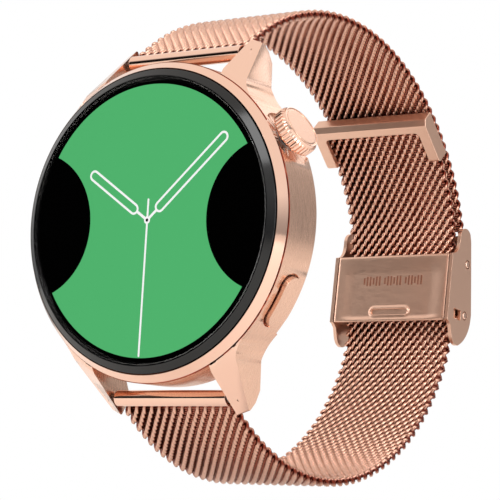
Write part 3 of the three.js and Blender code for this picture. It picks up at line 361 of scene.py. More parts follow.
def weave_tree():
    """Sweeps a round wire along the object's own line and repeats it at each point of a path."""
    tree, given = node_group(
        "woven_rows",
        [
            ("Path", "NodeSocketObject"),
            ("Wire Radius", "NodeSocketFloat"),
            ("Wire Sides", "NodeSocketInt"),
            ("Half Thickness", "NodeSocketFloat"),
            ("Wire Material", "NodeSocketMaterial"),
        ],
    )
    line = add_node(tree, "GeometryNodeMeshToCurve", {0: given["Geometry"]})
    ring = add_node(
        tree, "GeometryNodeCurvePrimitiveCircle", {"Resolution": given["Wire Sides"], "Radius": given["Wire Radius"]}
    )
    wire = add_node(
        tree, "GeometryNodeCurveToMesh", {"Curve": line.outputs[0], "Profile Curve": ring.outputs[0], "Fill Caps": True}
    )
    place = tree.nodes.new("GeometryNodeInputPosition")
    across = add_node(tree, "ShaderNodeSeparateXYZ", {0: place.outputs[0]})
    out = add_node(tree, "ShaderNodeMath", {0: across.outputs["Y"]}, operation="ABSOLUTE")
    share = add_node(tree, "ShaderNodeMath", {0: out.outputs[0], 1: given["Half Thickness"]}, operation="DIVIDE")
    # Each point's share of the way out from the strap's middle; the wire's material paints shade where this share is
    # small.
    marked = add_node(
        tree, "GeometryNodeStoreNamedAttribute", {0: wire.outputs[0], "Name": "outwards", "Value": share.outputs[0]}
    )
    smooth = add_node(tree, "GeometryNodeSetShadeSmooth", {0: marked.outputs[0]})
    path = add_node(tree, "GeometryNodeObjectInfo", {"Object": given["Path"]})
    course = add_node(tree, "GeometryNodeMeshToCurve", {0: path.outputs["Geometry"]})
    heading = tree.nodes.new("GeometryNodeInputTangent")
    turn = add_node(
        tree,
        "FunctionNodeAlignRotationToVector",
        {"Vector": heading.outputs[0]},
        axis="Z",
        pivot_axis="X",
    )
    rows = add_node(
        tree,
        "GeometryNodeInstanceOnPoints",
        {"Points": course.outputs[0], "Instance": smooth.outputs[0], "Rotation": turn.outputs[0]},
    )
    return close_group(tree, rows.outputs[0], given["Wire Material"])


def ring_tree():
    """Repeats the object evenly on a circle about the X axis of a frame."""
    tree, given = node_group(
        "round_the_axis",
        [
            ("Count", "NodeSocketInt"),
            ("Radius", "NodeSocketFloat"),
            ("Start Turn", "NodeSocketFloat"),
            ("Piece Material", "NodeSocketMaterial"),
        ],
    )
    circle = add_node(
        tree, "GeometryNodeCurvePrimitiveCircle", {"Resolution": given["Count"], "Radius": given["Radius"]}
    )
    place = tree.nodes.new("GeometryNodeInputPosition")
    turn = add_node(
        tree, "FunctionNodeAlignRotationToVector", {"Vector": place.outputs[0]}, axis="X", pivot_axis="Z"
    )
    copies = add_node(
        tree,
        "GeometryNodeInstanceOnPoints",
        {"Points": circle.outputs[0], "Instance": given["Geometry"], "Rotation": turn.outputs[0]},
    )
    spin = add_node(tree, "ShaderNodeCombineXYZ", {"Z": given["Start Turn"]})
    turned_all = add_node(
        tree, "GeometryNodeRotateInstances", {0: copies.outputs[0], "Rotation": spin.outputs[0], "Local Space": False}
    )
    return close_group(tree, turned_all.outputs[0], given["Piece Material"])


def round_axis(obj, count, radius, start_turn, material):
    """Copies of the object, which points along X, evenly round the Z axis."""
    tree = bpy.data.node_groups.get("round_the_axis") or ring_tree()
    values = {"Count": count, "Radius": radius, "Start Turn": start_turn, "Piece Material": material}
    return through_nodes(obj, tree, values)


def through_nodes(obj, tree, values):
    """Runs the object through a node tree, with the named inputs set, and keeps the result."""
    modifier = obj.modifiers.new("nodes", "NODES")
    modifier.node_group = tree
    names = {item.name: item.identifier for item in tree.interface.items_tree if item.in_out == "INPUT"}
    for label, value in values.items():
        modifier[names[label]] = value
    obj.update_tag()
    return evaluated(obj)


# ---- Materials ----


def start_material(name):
    """A new material with its tree and its shader."""
    material = bpy.data.materials.new(name)
    material.use_nodes = True
    tree = material.node_tree
    return material, tree, tree.nodes["Principled BSDF"]


def brushed_metal(name, base, grain, roughness=0.27, depth=0.35, tone=0.10):
    """Metal drawn over an abrasive belt: fine straight scratches that stretch each highlight across themselves.
    grain is how many scratches there are to a millimetre along each axis; the long way has few."""
    material, tree, shader = start_material(name)
    where = tree.nodes.new("ShaderNodeTexCoord").outputs["Object"]
    scaled = add_node(
        tree, "ShaderNodeMapping", {"Vector": where, "Scale": tuple(g / MM for g in grain)}, vector_type="POINT"
    )
    scratches = add_node(
        tree, "ShaderNodeTexNoise", {"Vector": scaled.outputs[0], "Scale": 1.0, "Detail": 3.0, "Roughness": 0.7}
    ).outputs["Fac"]
    tint = add_node(
        tree,
        "ShaderNodeMapRange",
        {"Value": scratches, "From Min": 0.3, "From Max": 0.7, "To Min": 1.0 - tone, "To Max": 1.0},
    )
    shade = add_node(tree, "ShaderNodeMix", {"Factor": 1.0, 6: (*base, 1.0)}, data_type="RGBA", blend_type="MULTIPLY")
    tree.links.new(tint.outputs[0], shade.inputs[7])
    tree.links.new(shade.outputs[2], shader.inputs["Base Color"])
    rough = add_node(
        tree,
        "ShaderNodeMapRange",
        {"Value": scratches, "From Min": 0.3, "From Max": 0.7, "To Min": roughness - 0.06, "To Max": roughness + 0.08},
    )
    tree.links.new(rough.outputs[0], shader.inputs["Roughness"])
    bump = add_node(tree, "ShaderNodeBump", {"Height": scratches, "Strength": depth, "Distance": 0.02 * MM})
    tree.links.new(bump.outputs[0], shader.inputs["Normal"])
    shader.inputs["Metallic"].default_value = 1.0
    return material


def plain(name, base, roughness, metallic=0.0, **more):
    """A material that is the same all over."""
    material, _, shader = start_material(name)
    shader.inputs["Base Color"].default_value = (*base, 1.0)
    shader.inputs["Roughness"].default_value = roughness
    shader.inputs["Metallic"].default_value = metallic
    for key, value in more.items():
        shader.inputs[key.replace("_", " ")].default_value = value
    return material


def drawn_wire(name, base, crevice_shade):
    """Plated wire whose colour is painted darker and redder towards the middle of the weave: painted shade between the
    turns, with the plain plated colour on the outside.
    """
    material, tree, shader = start_material(name)
    out = add_node(tree, "ShaderNodeAttribute", attribute_name="outwards").outputs["Fac"]
    # Near the weave's middle the colour turns to the dark red: painted shade between the turns.
    share = add_node(tree, "ShaderNodeMapRange", {"Value": out, "From Min": 0.20, "From Max": 0.70})
    tint = add_node(
        tree, "ShaderNodeMix", {"Factor": share.outputs[0], 6: (*crevice_shade, 1.0), 7: (*base, 1.0)}, data_type="RGBA"
    )
    tree.links.new(tint.outputs[2], shader.inputs["Base Color"])
    shader.inputs["Roughness"].default_value = 0.26
    shader.inputs["Metallic"].default_value = 1.0
    return material


def lit(name, base, strength=1.0):
    """A lit part of the display: it gives its own colour and none of the room's."""
    material, _, shader = start_material(name)
    shader.inputs["Base Color"].default_value = (0.0, 0.0, 0.0, 1.0)
    shader.inputs["Specular IOR Level"].default_value = 0.0
    shader.inputs["Emission Color"].default_value = (*base, 1.0)
    shader.inputs["Emission Strength"].default_value = strength
    return material


def worn_steel(name, base, roughness):
    """Turned steel with a slightly uneven polish."""
    material, tree, shader = start_material(name)
    where = tree.nodes.new("ShaderNodeTexCoord").outputs["Object"]
    cloud = add_node(tree, "ShaderNodeTexNoise", {"Vector": where, "Scale": 1.5 / MM, "Detail": 2.0}).outputs["Fac"]
    rough = add_node(
        tree, "ShaderNodeMapRange", {"Value": cloud, "To Min": roughness - 0.05, "To Max": roughness + 0.05}
    )
    tree.links.new(rough.outputs[0], shader.inputs["Roughness"])
    shader.inputs["Base Color"].default_value = (*base, 1.0)
    shader.inputs["Metallic"].default_value = 1.0
    return material


def speckled(name, base, other, roughness, size):
    """Moulded or coated stuff with a fine uneven grain, size in millimetres."""
    material, tree, shader = start_material(name)
    where = tree.nodes.new("ShaderNodeTexCoord").outputs["Object"]
    cloud = add_node(tree, "ShaderNodeTexNoise", {"Vector": where, "Scale": 1.0 / (size * MM), "Detail": 3.0})
    mix = add_node(
        tree, "ShaderNodeMix", {"Factor": cloud.outputs["Fac"], 6: (*base, 1.0), 7: (*other, 1.0)}, data_type="RGBA"
    )
    tree.links.new(mix.outputs[2], shader.inputs["Base Color"])
    shader.inputs["Roughness"].default_value = roughness
    return material


def materials():
    """All the materials, made once and then found by name."""
    colours = bpy.context.scene.watch_colours
    gold, polish, wire = tuple(colours.gold), tuple(colours.polish), tuple(colours.wire)
    made = {
        # Plated stainless steel, belt-brushed round the case, so light runs across the thin scratches.
        "case": lambda: brushed_metal("brushed_rose_gold", gold, (0.35, 9.0, 0.35), 0.26, 0.30),
        # The same plating, brushed across the strap on the clasp and the keeper.
        "clasp": lambda: brushed_metal("satin_rose_gold", gold, (0.6, 14.0, 14.0), 0.34, 0.02, 0.02),
        # The crown's cap is brushed from front to back.
        "cap": lambda: brushed_metal("brushed_crown_cap", gold, (6.0, 0.3, 6.0), 0.30, 0.30),
        # Buffed plating: a clear mirror of the studio.
        "polish": lambda: plain("polished_rose_gold", polish, 0.09, 1.0),
        # Drawn wire, plated after weaving: smooth, with small sharp highlights on every turn, and painted shade, darker
        # and redder, towards the weave's middle.
        "wire": lambda: drawn_wire("drawn_wire_rose_gold", wire, linear("#7A3628")),
        # Fired black ceramic under a hard gloss.
        "bezel": lambda: plain("black_gloss_ceramic", linear("#060607"), 0.13, 0.0, IOR=1.5),
        # Hardened clear glass; nearly everything passes through.
        "glass": lambda: plain("clear_hardened_glass", (1.0, 1.0, 1.0), 0.0, 0.0, IOR=1.45, Transmission_Weight=1.0),
        # The unlit part of the display, laminated to the glass.
        "display": lambda: plain("unlit_display", linear("#000000"), 0.6, 0.0, Specular_IOR_Level=0.0),
        "picture": lambda: lit("lit_picture", tuple(colours.picture)),
        "hands": lambda: lit("lit_hands", (1.0, 1.0, 1.0)),
        # Dark tinted sensor glass.
        "sensor": lambda: plain("tinted_sensor_glass", linear("#0A0B0E"), 0.06, 0.0, Coat_Weight=0.5),
        "steel": lambda: worn_steel("turned_steel", linear("#B9B9BD"), 0.3),
        "contact": lambda: worn_steel("gold_contact", linear("#E0BC66"), 0.2),
        "plastic": lambda: speckled("black_moulded_plastic", linear("#151517"), linear("#222225"), 0.5, 0.4),
        "rubber": lambda: speckled("black_seal_rubber", linear("#101010"), linear("#1C1C1C"), 0.85, 0.2),
        "board": lambda: speckled("green_circuit_board", linear("#164C30"), linear("#1F6641"), 0.55, 1.2),
        "foil": lambda: speckled("battery_foil", linear("#83868C"), linear("#9A9DA4"), 0.4, 3.0),
        # The stamped ground of the plate's pattern, darkened in the press.
        "stamp": lambda: plain("stamped_dark_rose_gold", linear("#A8705A"), 0.45, 1.0),
        # The bottom of grooves, painted a redder orange: painted shade and the rose gold's reflections of itself
        # gathering there.
        "groove": lambda: plain("rose_gold_groove", linear("#D98468"), 0.35, 1.0),
    }
    return lambda key: bpy.data.materials.get(MATERIAL_NAMES.get(key, "")) or named(key, made[key])


MATERIAL_NAMES = {}


def named(key, make):
    """Makes a material and remembers its name under a key."""
    material = make()
    MATERIAL_NAMES[key] = material.name
    return material


# ---- The case ----


def lug_side_x(z):
    """How far the lug's outer side stands from the middle at a height."""
    along = (z - LUG_APEX_Z) / (LUG_TIP_Z - LUG_TIP_BLEND - LUG_APEX_Z)
    return LUG_APEX_X + (LUG_INNER_X + LUG_TIP_WIDTH - LUG_APEX_X) * along


def lug():
    """The 1 o'clock lug: a side profile, a plan, the sloping facet and the shoulder cone, all in common."""
    start = (CASE_RADIUS * math.cos(math.radians(43)), CASE_RADIUS * math.sin(math.radians(43)))
    plan = [(LUG_INNER_X, LUG_ROOT_Z), (15, LUG_ROOT_Z)]
    plan += bend(start, (lug_side_x(17.9) - 0.1, 17.9), (lug_side_x(20.6), 20.6), 18)
    plan += [(lug_side_x(LUG_TIP_Z - LUG_TIP_BLEND), LUG_TIP_Z - LUG_TIP_BLEND), (LUG_INNER_X, LUG_TIP_Z)]
    side = [
        (CASE_FRONT_Y, LUG_ROOT_Z),
        (CASE_FRONT_Y, LUG_TIP_Z),
        (TUBE_Y + 1.6, LUG_TIP_Z),
        (TUBE_Y + 2.8, TUBE_Z + 0.5),
        (LUG_BACK_Y, TUBE_Z - 1.3),
        (CASE_BACK_Y - 0.1, 19.6),
        (CASE_BACK_Y, LUG_ROOT_Z),
    ]
    shoulder_y = CASE_FRONT_Y + SHOULDER_DROP
    a = Vector((LUG_INNER_X, shoulder_y, math.sqrt(SHOULDER_RADIUS**2 - LUG_INNER_X**2)))
    b = Vector((LUG_APEX_X, shoulder_y, LUG_APEX_Z))
    c = Vector((LUG_INNER_X, TUBE_Y + 1.25, LUG_TIP_Z))
    out = (b - a).cross(c - a).normalized()
    lie = Matrix.Translation(a) @ out.to_track_quat("Z", "Y").to_matrix().to_4x4()
    block = moved(box(-60, 60, -60, 60, -60, 0), lie)
    fall, reach = SHOULDER_DROP / (SHOULDER_RADIUS - CASE_RADIUS), 8
    shoulder = turned(
        [
            (0, CASE_BACK_Y + 4),
            (0, CASE_FRONT_Y),
            (CASE_RADIUS, CASE_FRONT_Y),
            (CASE_RADIUS + reach, CASE_FRONT_Y + fall * reach),
            (CASE_RADIUS + reach, CASE_BACK_Y + 4),
        ],
        288,
    )
    return common(prism_x(side, LUG_INNER_X, 24), prism_y(plan, CASE_FRONT_Y - 1, CASE_BACK_Y + 4), block, shoulder)


def case_shell():
    """The mid-case with its lugs, hollow inside, with the crown's scallop and the button's recess."""
    mid = turned(
        [
            (20, CASE_BACK_Y),
            (CASE_RADIUS - 0.5, CASE_BACK_Y),
            (CASE_RADIUS, CASE_BACK_Y - 0.5),
            (CASE_RADIUS, CASE_FRONT_Y),
            (20, CASE_FRONT_Y),
        ],
        288,
    )
    one = lug()
    lugs = [copied(one, Matrix.Diagonal((sx, 1, sz, 1))) for sx in (1, -1) for sz in (1, -1)]
    bpy.data.objects.remove(one)
    shell = joined(mid, *lugs)
    cut(shell, rod_y(CASE_INNER, CASE_FRONT_Y - 1, CASE_BACK_Y + 1, segments=144))
    scallop = moved(rod_x(SCALLOP_RADIUS, 22.85, 27, segments=96), radial(CROWN_ANGLE))
    bush = moved(rod_x(BUSH_BORE, 20, 24, segments=48), radial(CROWN_ANGLE))
    recess = moved(prism_x(oblong(RECESS_WIDTH, RECESS_LENGTH), 22.2, 26), radial(BUTTON_ANGLE))
    plunger = moved(rod_x(PLUNGER_BORE, 20, 24, segments=32), radial(BUTTON_ANGLE))
    cut(shell, scallop, bush, recess, plunger)
    sockets = [
        rod_x(SOCKET_RADIUS, sx * SOCKET_FROM, sx * SOCKET_TO, TUBE_Y, sz * TUBE_Z, 24)
        for sx in (1, -1)
        for sz in (1, -1)
    ]
    return cut(shell, *sockets)


def build_case(sizes, look):
    """The case shell, with its facets polished and its grooves painted redder as shade, and the front ring."""
    shell = softened(case_shell(), sizes.edge / MM, 2, 20)

    def choose(polygon):
        n, c = polygon.normal, polygon.center
        radius = math.hypot(c.x, c.z)
        if n.y < -0.25 and radius > 22.9:
            return 1
        # Faces set back from the case's outer side take the groove colour: painted shade.
        if radius < CASE_RADIUS - 0.15 and n.dot(Vector((c.x, 0, c.z)).normalized()) < 0.9 and radius > 22.0:
            return 2
        return 0

    finished(
        shell, "case_shell", [look("case"), look("polish"), look("groove")], "case", ["case_body"],
        choose=choose,
    )
    ring = turned(
        [
            (22.3, CASE_FRONT_Y - 0.12),
            (23.2, CASE_FRONT_Y - 0.12),
            (23.32, CASE_FRONT_Y - 0.22),
            (23.0, -9.93),
            (22.86, -10.08),
            (22.42, -10.68),
            (22.34, -10.76),
            (22.3, -10.72),
        ],
        288,
    )
    # The ring's back, in its seat against the case, takes the groove colour: painted shade.
    finished(
        ring, "case_front_ring", [look("polish"), look("groove")], "case", ["front_ring"], 50,
        choose=lambda polygon: int(polygon.center.y > -9.5),
    )


def build_front(sizes, look):
    """The bezel, the glass, the dark display stack and the lit face between them."""
    bezel = turned(
        [
            (21.05, -11.5), (21.05, -10.45), (20.55, -10.45), (20.55, -9.45), (22.15, -9.45), (22.15, -10.86),
            (22.08, -10.95), (21.2, -11.54), (21.12, -11.57), (21.07, -11.55),
        ],
        288,
    )
    finished(bezel, "case_bezel", look("bezel"), "case", ["bezel_ring"], 50)
    radius, front, back = GLASS_RADIUS, GLASS_FRONT_Y, GLASS_FRONT_Y + GLASS_THICKNESS
    edge = [(radius - 0.05, back), (radius, back - 0.05), (radius, front + 0.1), (radius - 0.1, front)]
    glass = turned([(0, back), *edge, (0, front)], 288)
    finished(glass, "clear_cover", look("glass"), "case", ["cover_glass"], 40)
    radius, front, back = DISPLAY_RADIUS, DISPLAY_FRONT_Y, DISPLAY_BACK_Y
    edge = [(radius, back), (radius, front + 0.06), (radius - 0.1, front)]
    panel = turned([(0, back), *edge, (0, front)], 192)
    finished(panel, "display_stack", look("display"), "case", ["display_panel"], 40)
    for layer, (name, key, outline) in enumerate(face_shapes()):
        shape = flat_shape(outline, FACE_Y - FACE_LAYER * layer)
        finished(shape, name, look(key), "case", (), weighted=False)


# The lit shapes lie one in front of another, a few micrometres apart, between the display and the glass.
FACE_Y, FACE_LAYER = -11.09, 0.006

# The face's plain picture: a disc with a round bite out of each side. Its sizes are in millimetres from the hub.
PICTURE_RADIUS, BITE_PLACE, BITE_RADIUS = 19.9, 21.5, 11.0
# Each hand as degrees from 12 o'clock, the distances from the hub to its start and end, and its half width.
HANDS = {"hour": (-55.3, 2.3, 13.1, 0.85), "minute": (49.0, 2.1, 18.1, 0.85)}
SECOND_HAND = (181.5, -3.0, 19.6, 0.16)


def picture_outline():
    """Four arcs: the disc's top, the left bite, the disc's bottom and the right bite."""
    on_disc = (BITE_PLACE**2 + PICTURE_RADIUS**2 - BITE_RADIUS**2) / (2 * BITE_PLACE * PICTURE_RADIUS)
    on_bite = (BITE_PLACE**2 + BITE_RADIUS**2 - PICTURE_RADIUS**2) / (2 * BITE_PLACE * BITE_RADIUS)
    rim, bite = (math.degrees(math.acos(c)) for c in (on_disc, on_bite))
    return [
        *arc(0, 0, PICTURE_RADIUS, rim, 180 - rim, 60),
        *arc(-BITE_PLACE, 0, BITE_RADIUS, bite, -bite, 40)[1:-1],
        *arc(0, 0, PICTURE_RADIUS, 180 + rim, 360 - rim, 60),
        *arc(BITE_PLACE, 0, BITE_RADIUS, 180 + bite, 180 - bite, 40)[1:-1],
    ]


def hand_ends(degrees, start, end):
    """The two ends of a hand, as (x, z)."""
    turn = math.radians(degrees)
    return [(reach * math.sin(turn), reach * math.cos(turn)) for reach in (start, end)]


def bar_outline(start, end, half, ends=12):
    """A bar with round ends, from one point to another."""
    turn = math.degrees(math.atan2(end[1] - start[1], end[0] - start[0]))
    return arc(*end, half, turn - 90, turn + 90, ends) + arc(*start, half, turn + 90, turn + 270, ends)


def flat_shape(outline, level):
    """A sheet 4 micrometres thick with its front at a level."""
    work = bmesh.new()
    made = [work.verts.new((x, level, z)) for x, z in outline]
    for triangle in tessellate_polygon([[Vector((x, z, 0)) for x, z in outline]]):
        work.faces.new([made[i] for i in triangle])
    back = bmesh.ops.extrude_face_region(work, geom=work.faces[:])
    bmesh.ops.translate(work, verts=[v for v in back["geom"] if isinstance(v, bmesh.types.BMVert)], vec=(0, 0.004, 0))
    bmesh.ops.recalc_face_normals(work, faces=work.faces)
    mesh = bpy.data.meshes.new("sheet")
    work.to_mesh(mesh)
    work.free()
    return placed("sheet", mesh)


def face_shapes():
    """(name, material, outline) for each lit shape on the face, from the back to the front."""
    *second, thin = SECOND_HAND
    shapes = [
        ("face_picture", "picture", picture_outline()),
        ("face_second_hand", "hands", bar_outline(*hand_ends(*second), thin, 4)),
    ]
    for name, (degrees, start, end, half) in HANDS.items():
        near, far = hand_ends(degrees, start + half - 0.1, end - half)
        shapes.append((f"face_{name}_stem", "hands", bar_outline((0, 0), near, 0.2, 4)))
        shapes.append((f"face_{name}_hand", "hands", bar_outline(near, far, half, 12)))
        shapes.append((f"face_{name}_hand_middle", "picture", bar_outline(near, far, half - 0.33, 12)))
    shapes.append(("face_hub", "hands", arc(0, 0, 0.55, 0, 352, 45)))
    shapes.append(("face_hub_dot", "display", arc(0, 0, 0.24, 0, 352, 45)))
    return shapes


# ---- The back ----


def build_back(sizes, look):
    """The lid with its screws and contacts, and the sensor window with its emitters."""
    cover = turned(
        [
            (12.75, -0.5), (20.45, -0.5), (22.5, -1.38), (22.65, -1.5), (22.65, -1.95), (20.1, -1.95), (20.1, -2.7),
            (19.2, -2.7), (19.2, -1.6), (13.55, -1.6), (13.55, -1.2), (12.75, -1.2),
        ],
        288,
    )
    holes = []
    for turn in (45, 135, 225, 315):
        x, z = (SCREW_CIRCLE * f(math.radians(turn)) for f in (math.cos, math.sin))
        holes += [rod_y(1.25, -1.1, 1, x, z), rod_y(0.65, -3, 0, x, z)]
    holes += [rod_y(1.05, -3, 1, side * CONTACT_X, CONTACT_Z) for side in (1, -1)]
    finished(
        softened(cut(cover, *holes), 0.05, 2), "back_lid", look("case"), "case", ["back_cover"]
    )
    window = turned(
        [
            (0, 0), (10.6, -0.04), (11.7, -0.08), (12.2, -0.16), (12.55, -0.36), (12.6, -0.5), (12.6, -1.35),
            (13.4, -1.35), (13.4, -1.8), (0, -1.8),
        ],
        192,
    )
    finished(window, "sensor_dome", look("sensor"), "case", ["sensor_window"], 50)
    for name, radius, place in (("green_emitters", 0.75, 5.4), ("red_emitters", 0.55, 8.2)):
        lens = turned([(0, 0), (radius * 0.9, 0), (radius, 0.012), (radius, 0.02), (0, 0.02)], 24)
        moved(lens, Matrix.Rotation(math.radians(90), 4, "X"))
        ring = round_axis(lens, EMITTERS, place, 0.0, look("steel"))
        moved(ring, Matrix.Translation((0, -0.06, 0)) @ Matrix.Rotation(math.radians(90), 4, "X"))
        finished(ring, name, look("foil"), "case", ())
    for number, side in ((1, -1), (2, 1)):
        pin = turned(
            [(0, -0.45), (0.6, -0.46), (0.82, -0.55), (0.9, -0.66), (0.9, -1.65), (1.3, -1.7), (1.3, -2.1), (0, -2.1)],
            48,
            Matrix.Translation((side * CONTACT_X, 0, CONTACT_Z)),
        )
        finished(pin, f"contact_{number}", look("contact"), "case", [f"charging_pin_{number}"], 50)
    shank = turned([(0, -4.1), (0.35, -4.1), (0.5, -3.9), (0.5, -0.66), (0, -0.66)], 32)
    head = turned([(0, -1.0), (1.05, -1.0), (1.1, -0.94), (1.1, -0.64), (1.0, -0.56), (0, -0.56)], 64)
    drive = [box(-0.7, 0.7, -0.75, 0, -0.15, 0.15), box(-0.15, 0.15, -0.75, 0, -0.7, 0.7)]
    screw = joined(cut(head, *drive), shank)
    moved(screw, Matrix.Rotation(math.radians(-90), 4, "X"))
    ring = round_axis(screw, SCREWS, SCREW_CIRCLE, math.radians(45), look("steel"))
    moved(ring, Matrix.Rotation(math.radians(90), 4, "X"))
    nodes = [f"back_screw_{i + 1}" for i in range(SCREWS)]
    finished(ring, "back_screws", look("steel"), "case", nodes)


# ---- The crown and the button ----


def build_crown(sizes, look):
    """The crown's body, one ring of teeth and the brushed cap."""
    frame_of = radial(CROWN_ANGLE)
    tooth = sizes.tooth_depth / MM
    core_radius = CROWN_RADIUS - tooth
    core = turned_x(
        [
            (1.0, 23.8), (3.2, 23.8), (core_radius, 24.02), (core_radius, 25.35), (3.3, 25.98), (3.22, 26.0),
            (3.13, 25.96), (3.1, 25.9), (3.1, 25.45), (1.0, 25.45),
        ],
        144,
    )
    finished(moved(core, frame_of), "crown_body", look("polish"), "crown", ["crown_head"], 30)
    # One tooth lies along Z at the ring's own radius and points outwards along X.
    half, low, high = math.pi * CROWN_RADIUS / CROWN_TEETH * 0.72, 23.88, 25.9
    flank = [(-0.35, half), (tooth * 0.45, half), (tooth * 0.9, half * 0.55)]
    outline = [(a, -b) for a, b in flank] + [(tooth, 0)] + flank[::-1]
    points, faces, count = [], [], len(outline)
    stations = [(low, 0.15), (low + 0.22, 0.9), (low + 0.34, 1.0), (25.22, 1.0), (25.42, 0.75), (high, -0.85)]
    for z, share in stations:
        points += [(core_radius + (a if a < 0 else a * max(share, 0)) + min(share, 0) * 0.35, b, z) for a, b in outline]
    for s in range(len(stations) - 1):
        for i in range(count):
            j = (i + 1) % count
            faces.append([s * count + i, s * count + j, (s + 1) * count + j, (s + 1) * count + i])
    faces += [list(range(count)), list(range((len(stations) - 1) * count, len(stations) * count))]
    one = moved(from_faces("tooth", points, faces), Matrix.Translation((-core_radius, 0, 0)))
    teeth = round_axis(one, CROWN_TEETH, core_radius, 0.0, look("polish"))
    moved(teeth, frame_of @ Matrix.Rotation(math.radians(90), 4, "Y"))
    finished(teeth, "crown_teeth", look("polish"), "crown", (), 35)
    cap = turned_x([(0, 25.6), (2.95, 25.6), (2.95, 25.88), (2.9, 25.95), (2.8, 25.99), (2.7, 26.0), (0, 26.0)], 144)
    finished(moved(cap, frame_of), "crown_face", look("cap"), "crown", ["crown_cap"], 40)


def build_button(sizes, look):
    """The long button, its face curved like the case."""
    pill = prism_x(oblong(BUTTON_WIDTH, BUTTON_LENGTH, 24), 22.8, 25.2)
    face = rod_y(BUTTON_FACE_RADIUS, -4, 4, segments=256)
    button = moved(softened(common(pill, face), 0.26, 4, 40), radial(BUTTON_ANGLE))
    finished(button, "button_pill", look("case"), "button", ["side_button"])


# ---- The straps ----


def on_loop(loop, angle):
    """The (y, z) of a strap's oval at an angle."""
    y, z, depth, height = loop
    return (y + depth * math.cos(math.radians(angle)), z + height * math.sin(math.radians(angle)))


def strap_points(loop, side, angles, flat):
    """The points that a strap's centre line runs through, as (y, z)."""
    tube, first = Vector((TUBE_Y, side * TUBE_Z)), Vector(on_loop(loop, angles[0]))
    points, placed = [tube + (first - tube).normalized() * (TUBE_RADIUS + 0.25)], False
    for angle in angles:
        y, z = on_loop(loop, angle)
        if not (flat and y > loop[0] and abs(z - (FLAT_TOP + FLAT_BOTTOM) / 2) < 9.5):
            points.append(Vector((y, z)))
        elif not placed:
            points += [Vector((FLAT_Y - 0.12, FLAT_BOTTOM)), Vector((FLAT_Y, FLAT_TOP))]
            placed = True
    return points


def centripetal(points, steps=24):
    """A centripetal Catmull-Rom curve through the points."""
    first, last = points[0] * 2 - points[1], points[-1] * 2 - points[-2]
    full, out = [first, *points, last], []
    for p0, p1, p2, p3 in zip(full, full[1:], full[2:], full[3:]):
        knots = [0.0]
        for a, b in ((p0, p1), (p1, p2), (p2, p3)):
            knots.append(knots[-1] + max((b - a).length, 1e-9) ** 0.5)
        t0, t1, t2, t3 = knots
        for k in range(steps):
            t = t1 + (t2 - t1) * k / steps
            a1 = (p0 * (t1 - t) + p1 * (t - t0)) / (t1 - t0)
            a2 = (p1 * (t2 - t) + p2 * (t - t1)) / (t2 - t1)
            a3 = (p2 * (t3 - t) + p3 * (t - t2)) / (t3 - t2)
            b1 = (a1 * (t2 - t) + a2 * (t - t0)) / (t2 - t0)
            b2 = (a2 * (t3 - t) + a3 * (t - t1)) / (t3 - t1)
            out.append((b1 * (t2 - t) + b2 * (t - t1)) / (t2 - t1))
    return [*out, points[-1]]


def along(line, distance):
    """The point at a distance along a line of points."""
    for a, b in zip(line, line[1:]):
        step = (b - a).length
        if distance <= step:
            return a + (b - a) * (distance / step)
        distance -= step
    return line[-1]


def wire_loop(sizes):
    """The centre line of one closed wire: two rows of flattened turns, joined by a hairpin at each edge.
    X runs across the strap, Z along it and Y inwards."""
    pitch, gap, reach = sizes.wire_pitch / MM, sizes.row_spacing / MM, sizes.wire_reach / MM
    turns, steps = round(WEAVE_TURNS_WIDTH / pitch), 12
    low_room, high_room = 0.31, 0.66
    rows = []
    for row, shift in ((0, 0.25), (1, -0.25)):
        points = []
        for i in range(turns * steps + 1):
            turn = i / steps
            phase = 2 * math.pi * (turn + shift)
            room = (low_room + high_room) / 2 - (high_room - low_room) / 2 * math.cos(phase)
            x = (turn - turns / 2) * pitch
            points.append((x, -room * math.sin(phase), (row - 0.5) * gap - reach * math.cos(phase)))
        rows.append(points)
    first, second = rows
    edge = WEAVE_HALF_WIDTH - sizes.wire_radius / MM

    def hairpin(start, end, side):
        out = []
        for i in range(1, 8):
            t = i / 8
            mix = t * t * (3 - 2 * t)
            middle = [(1 - mix) * a + mix * b for a, b in zip(start, end)]
            middle[0] = (1 - t) * start[0] + t * end[0]
            bulge = math.sin(math.pi * t)
            middle[0] += side * bulge * max(edge - abs(middle[0]), 0.0)
            out.append(tuple(middle))
        return out

    return first + hairpin(first[-1], second[-1], 1) + second[::-1] + hairpin(second[0], first[0], -1)


def core_wires(sizes):
    """The straight cross wires, packed side by side, that the turns lock round, as pairs of end points."""
    gap = sizes.row_spacing / MM
    ends = (-CROSS_WIRE_HALF, CROSS_WIRE_HALF)
    return [(x, 0.0, share * gap) for share in (-0.75, -0.25, 0.25, 0.75) for x in ends]


def line_object(name, points, closed, pairs=()):
    """A mesh of edges only: one line through the points, and one more edge for each pair of points."""
    mesh = bpy.data.meshes.new(name)
    count = len(points)
    edges = [(i, i + 1) for i in range(count - 1)] + ([(count - 1, 0)] if closed else [])
    edges += [(count + i, count + i + 1) for i in range(0, len(pairs), 2)]
    points = [*points, *pairs]
    mesh.from_pydata([Vector(p) * MM for p in points], edges, [])
    return placed(name, mesh)


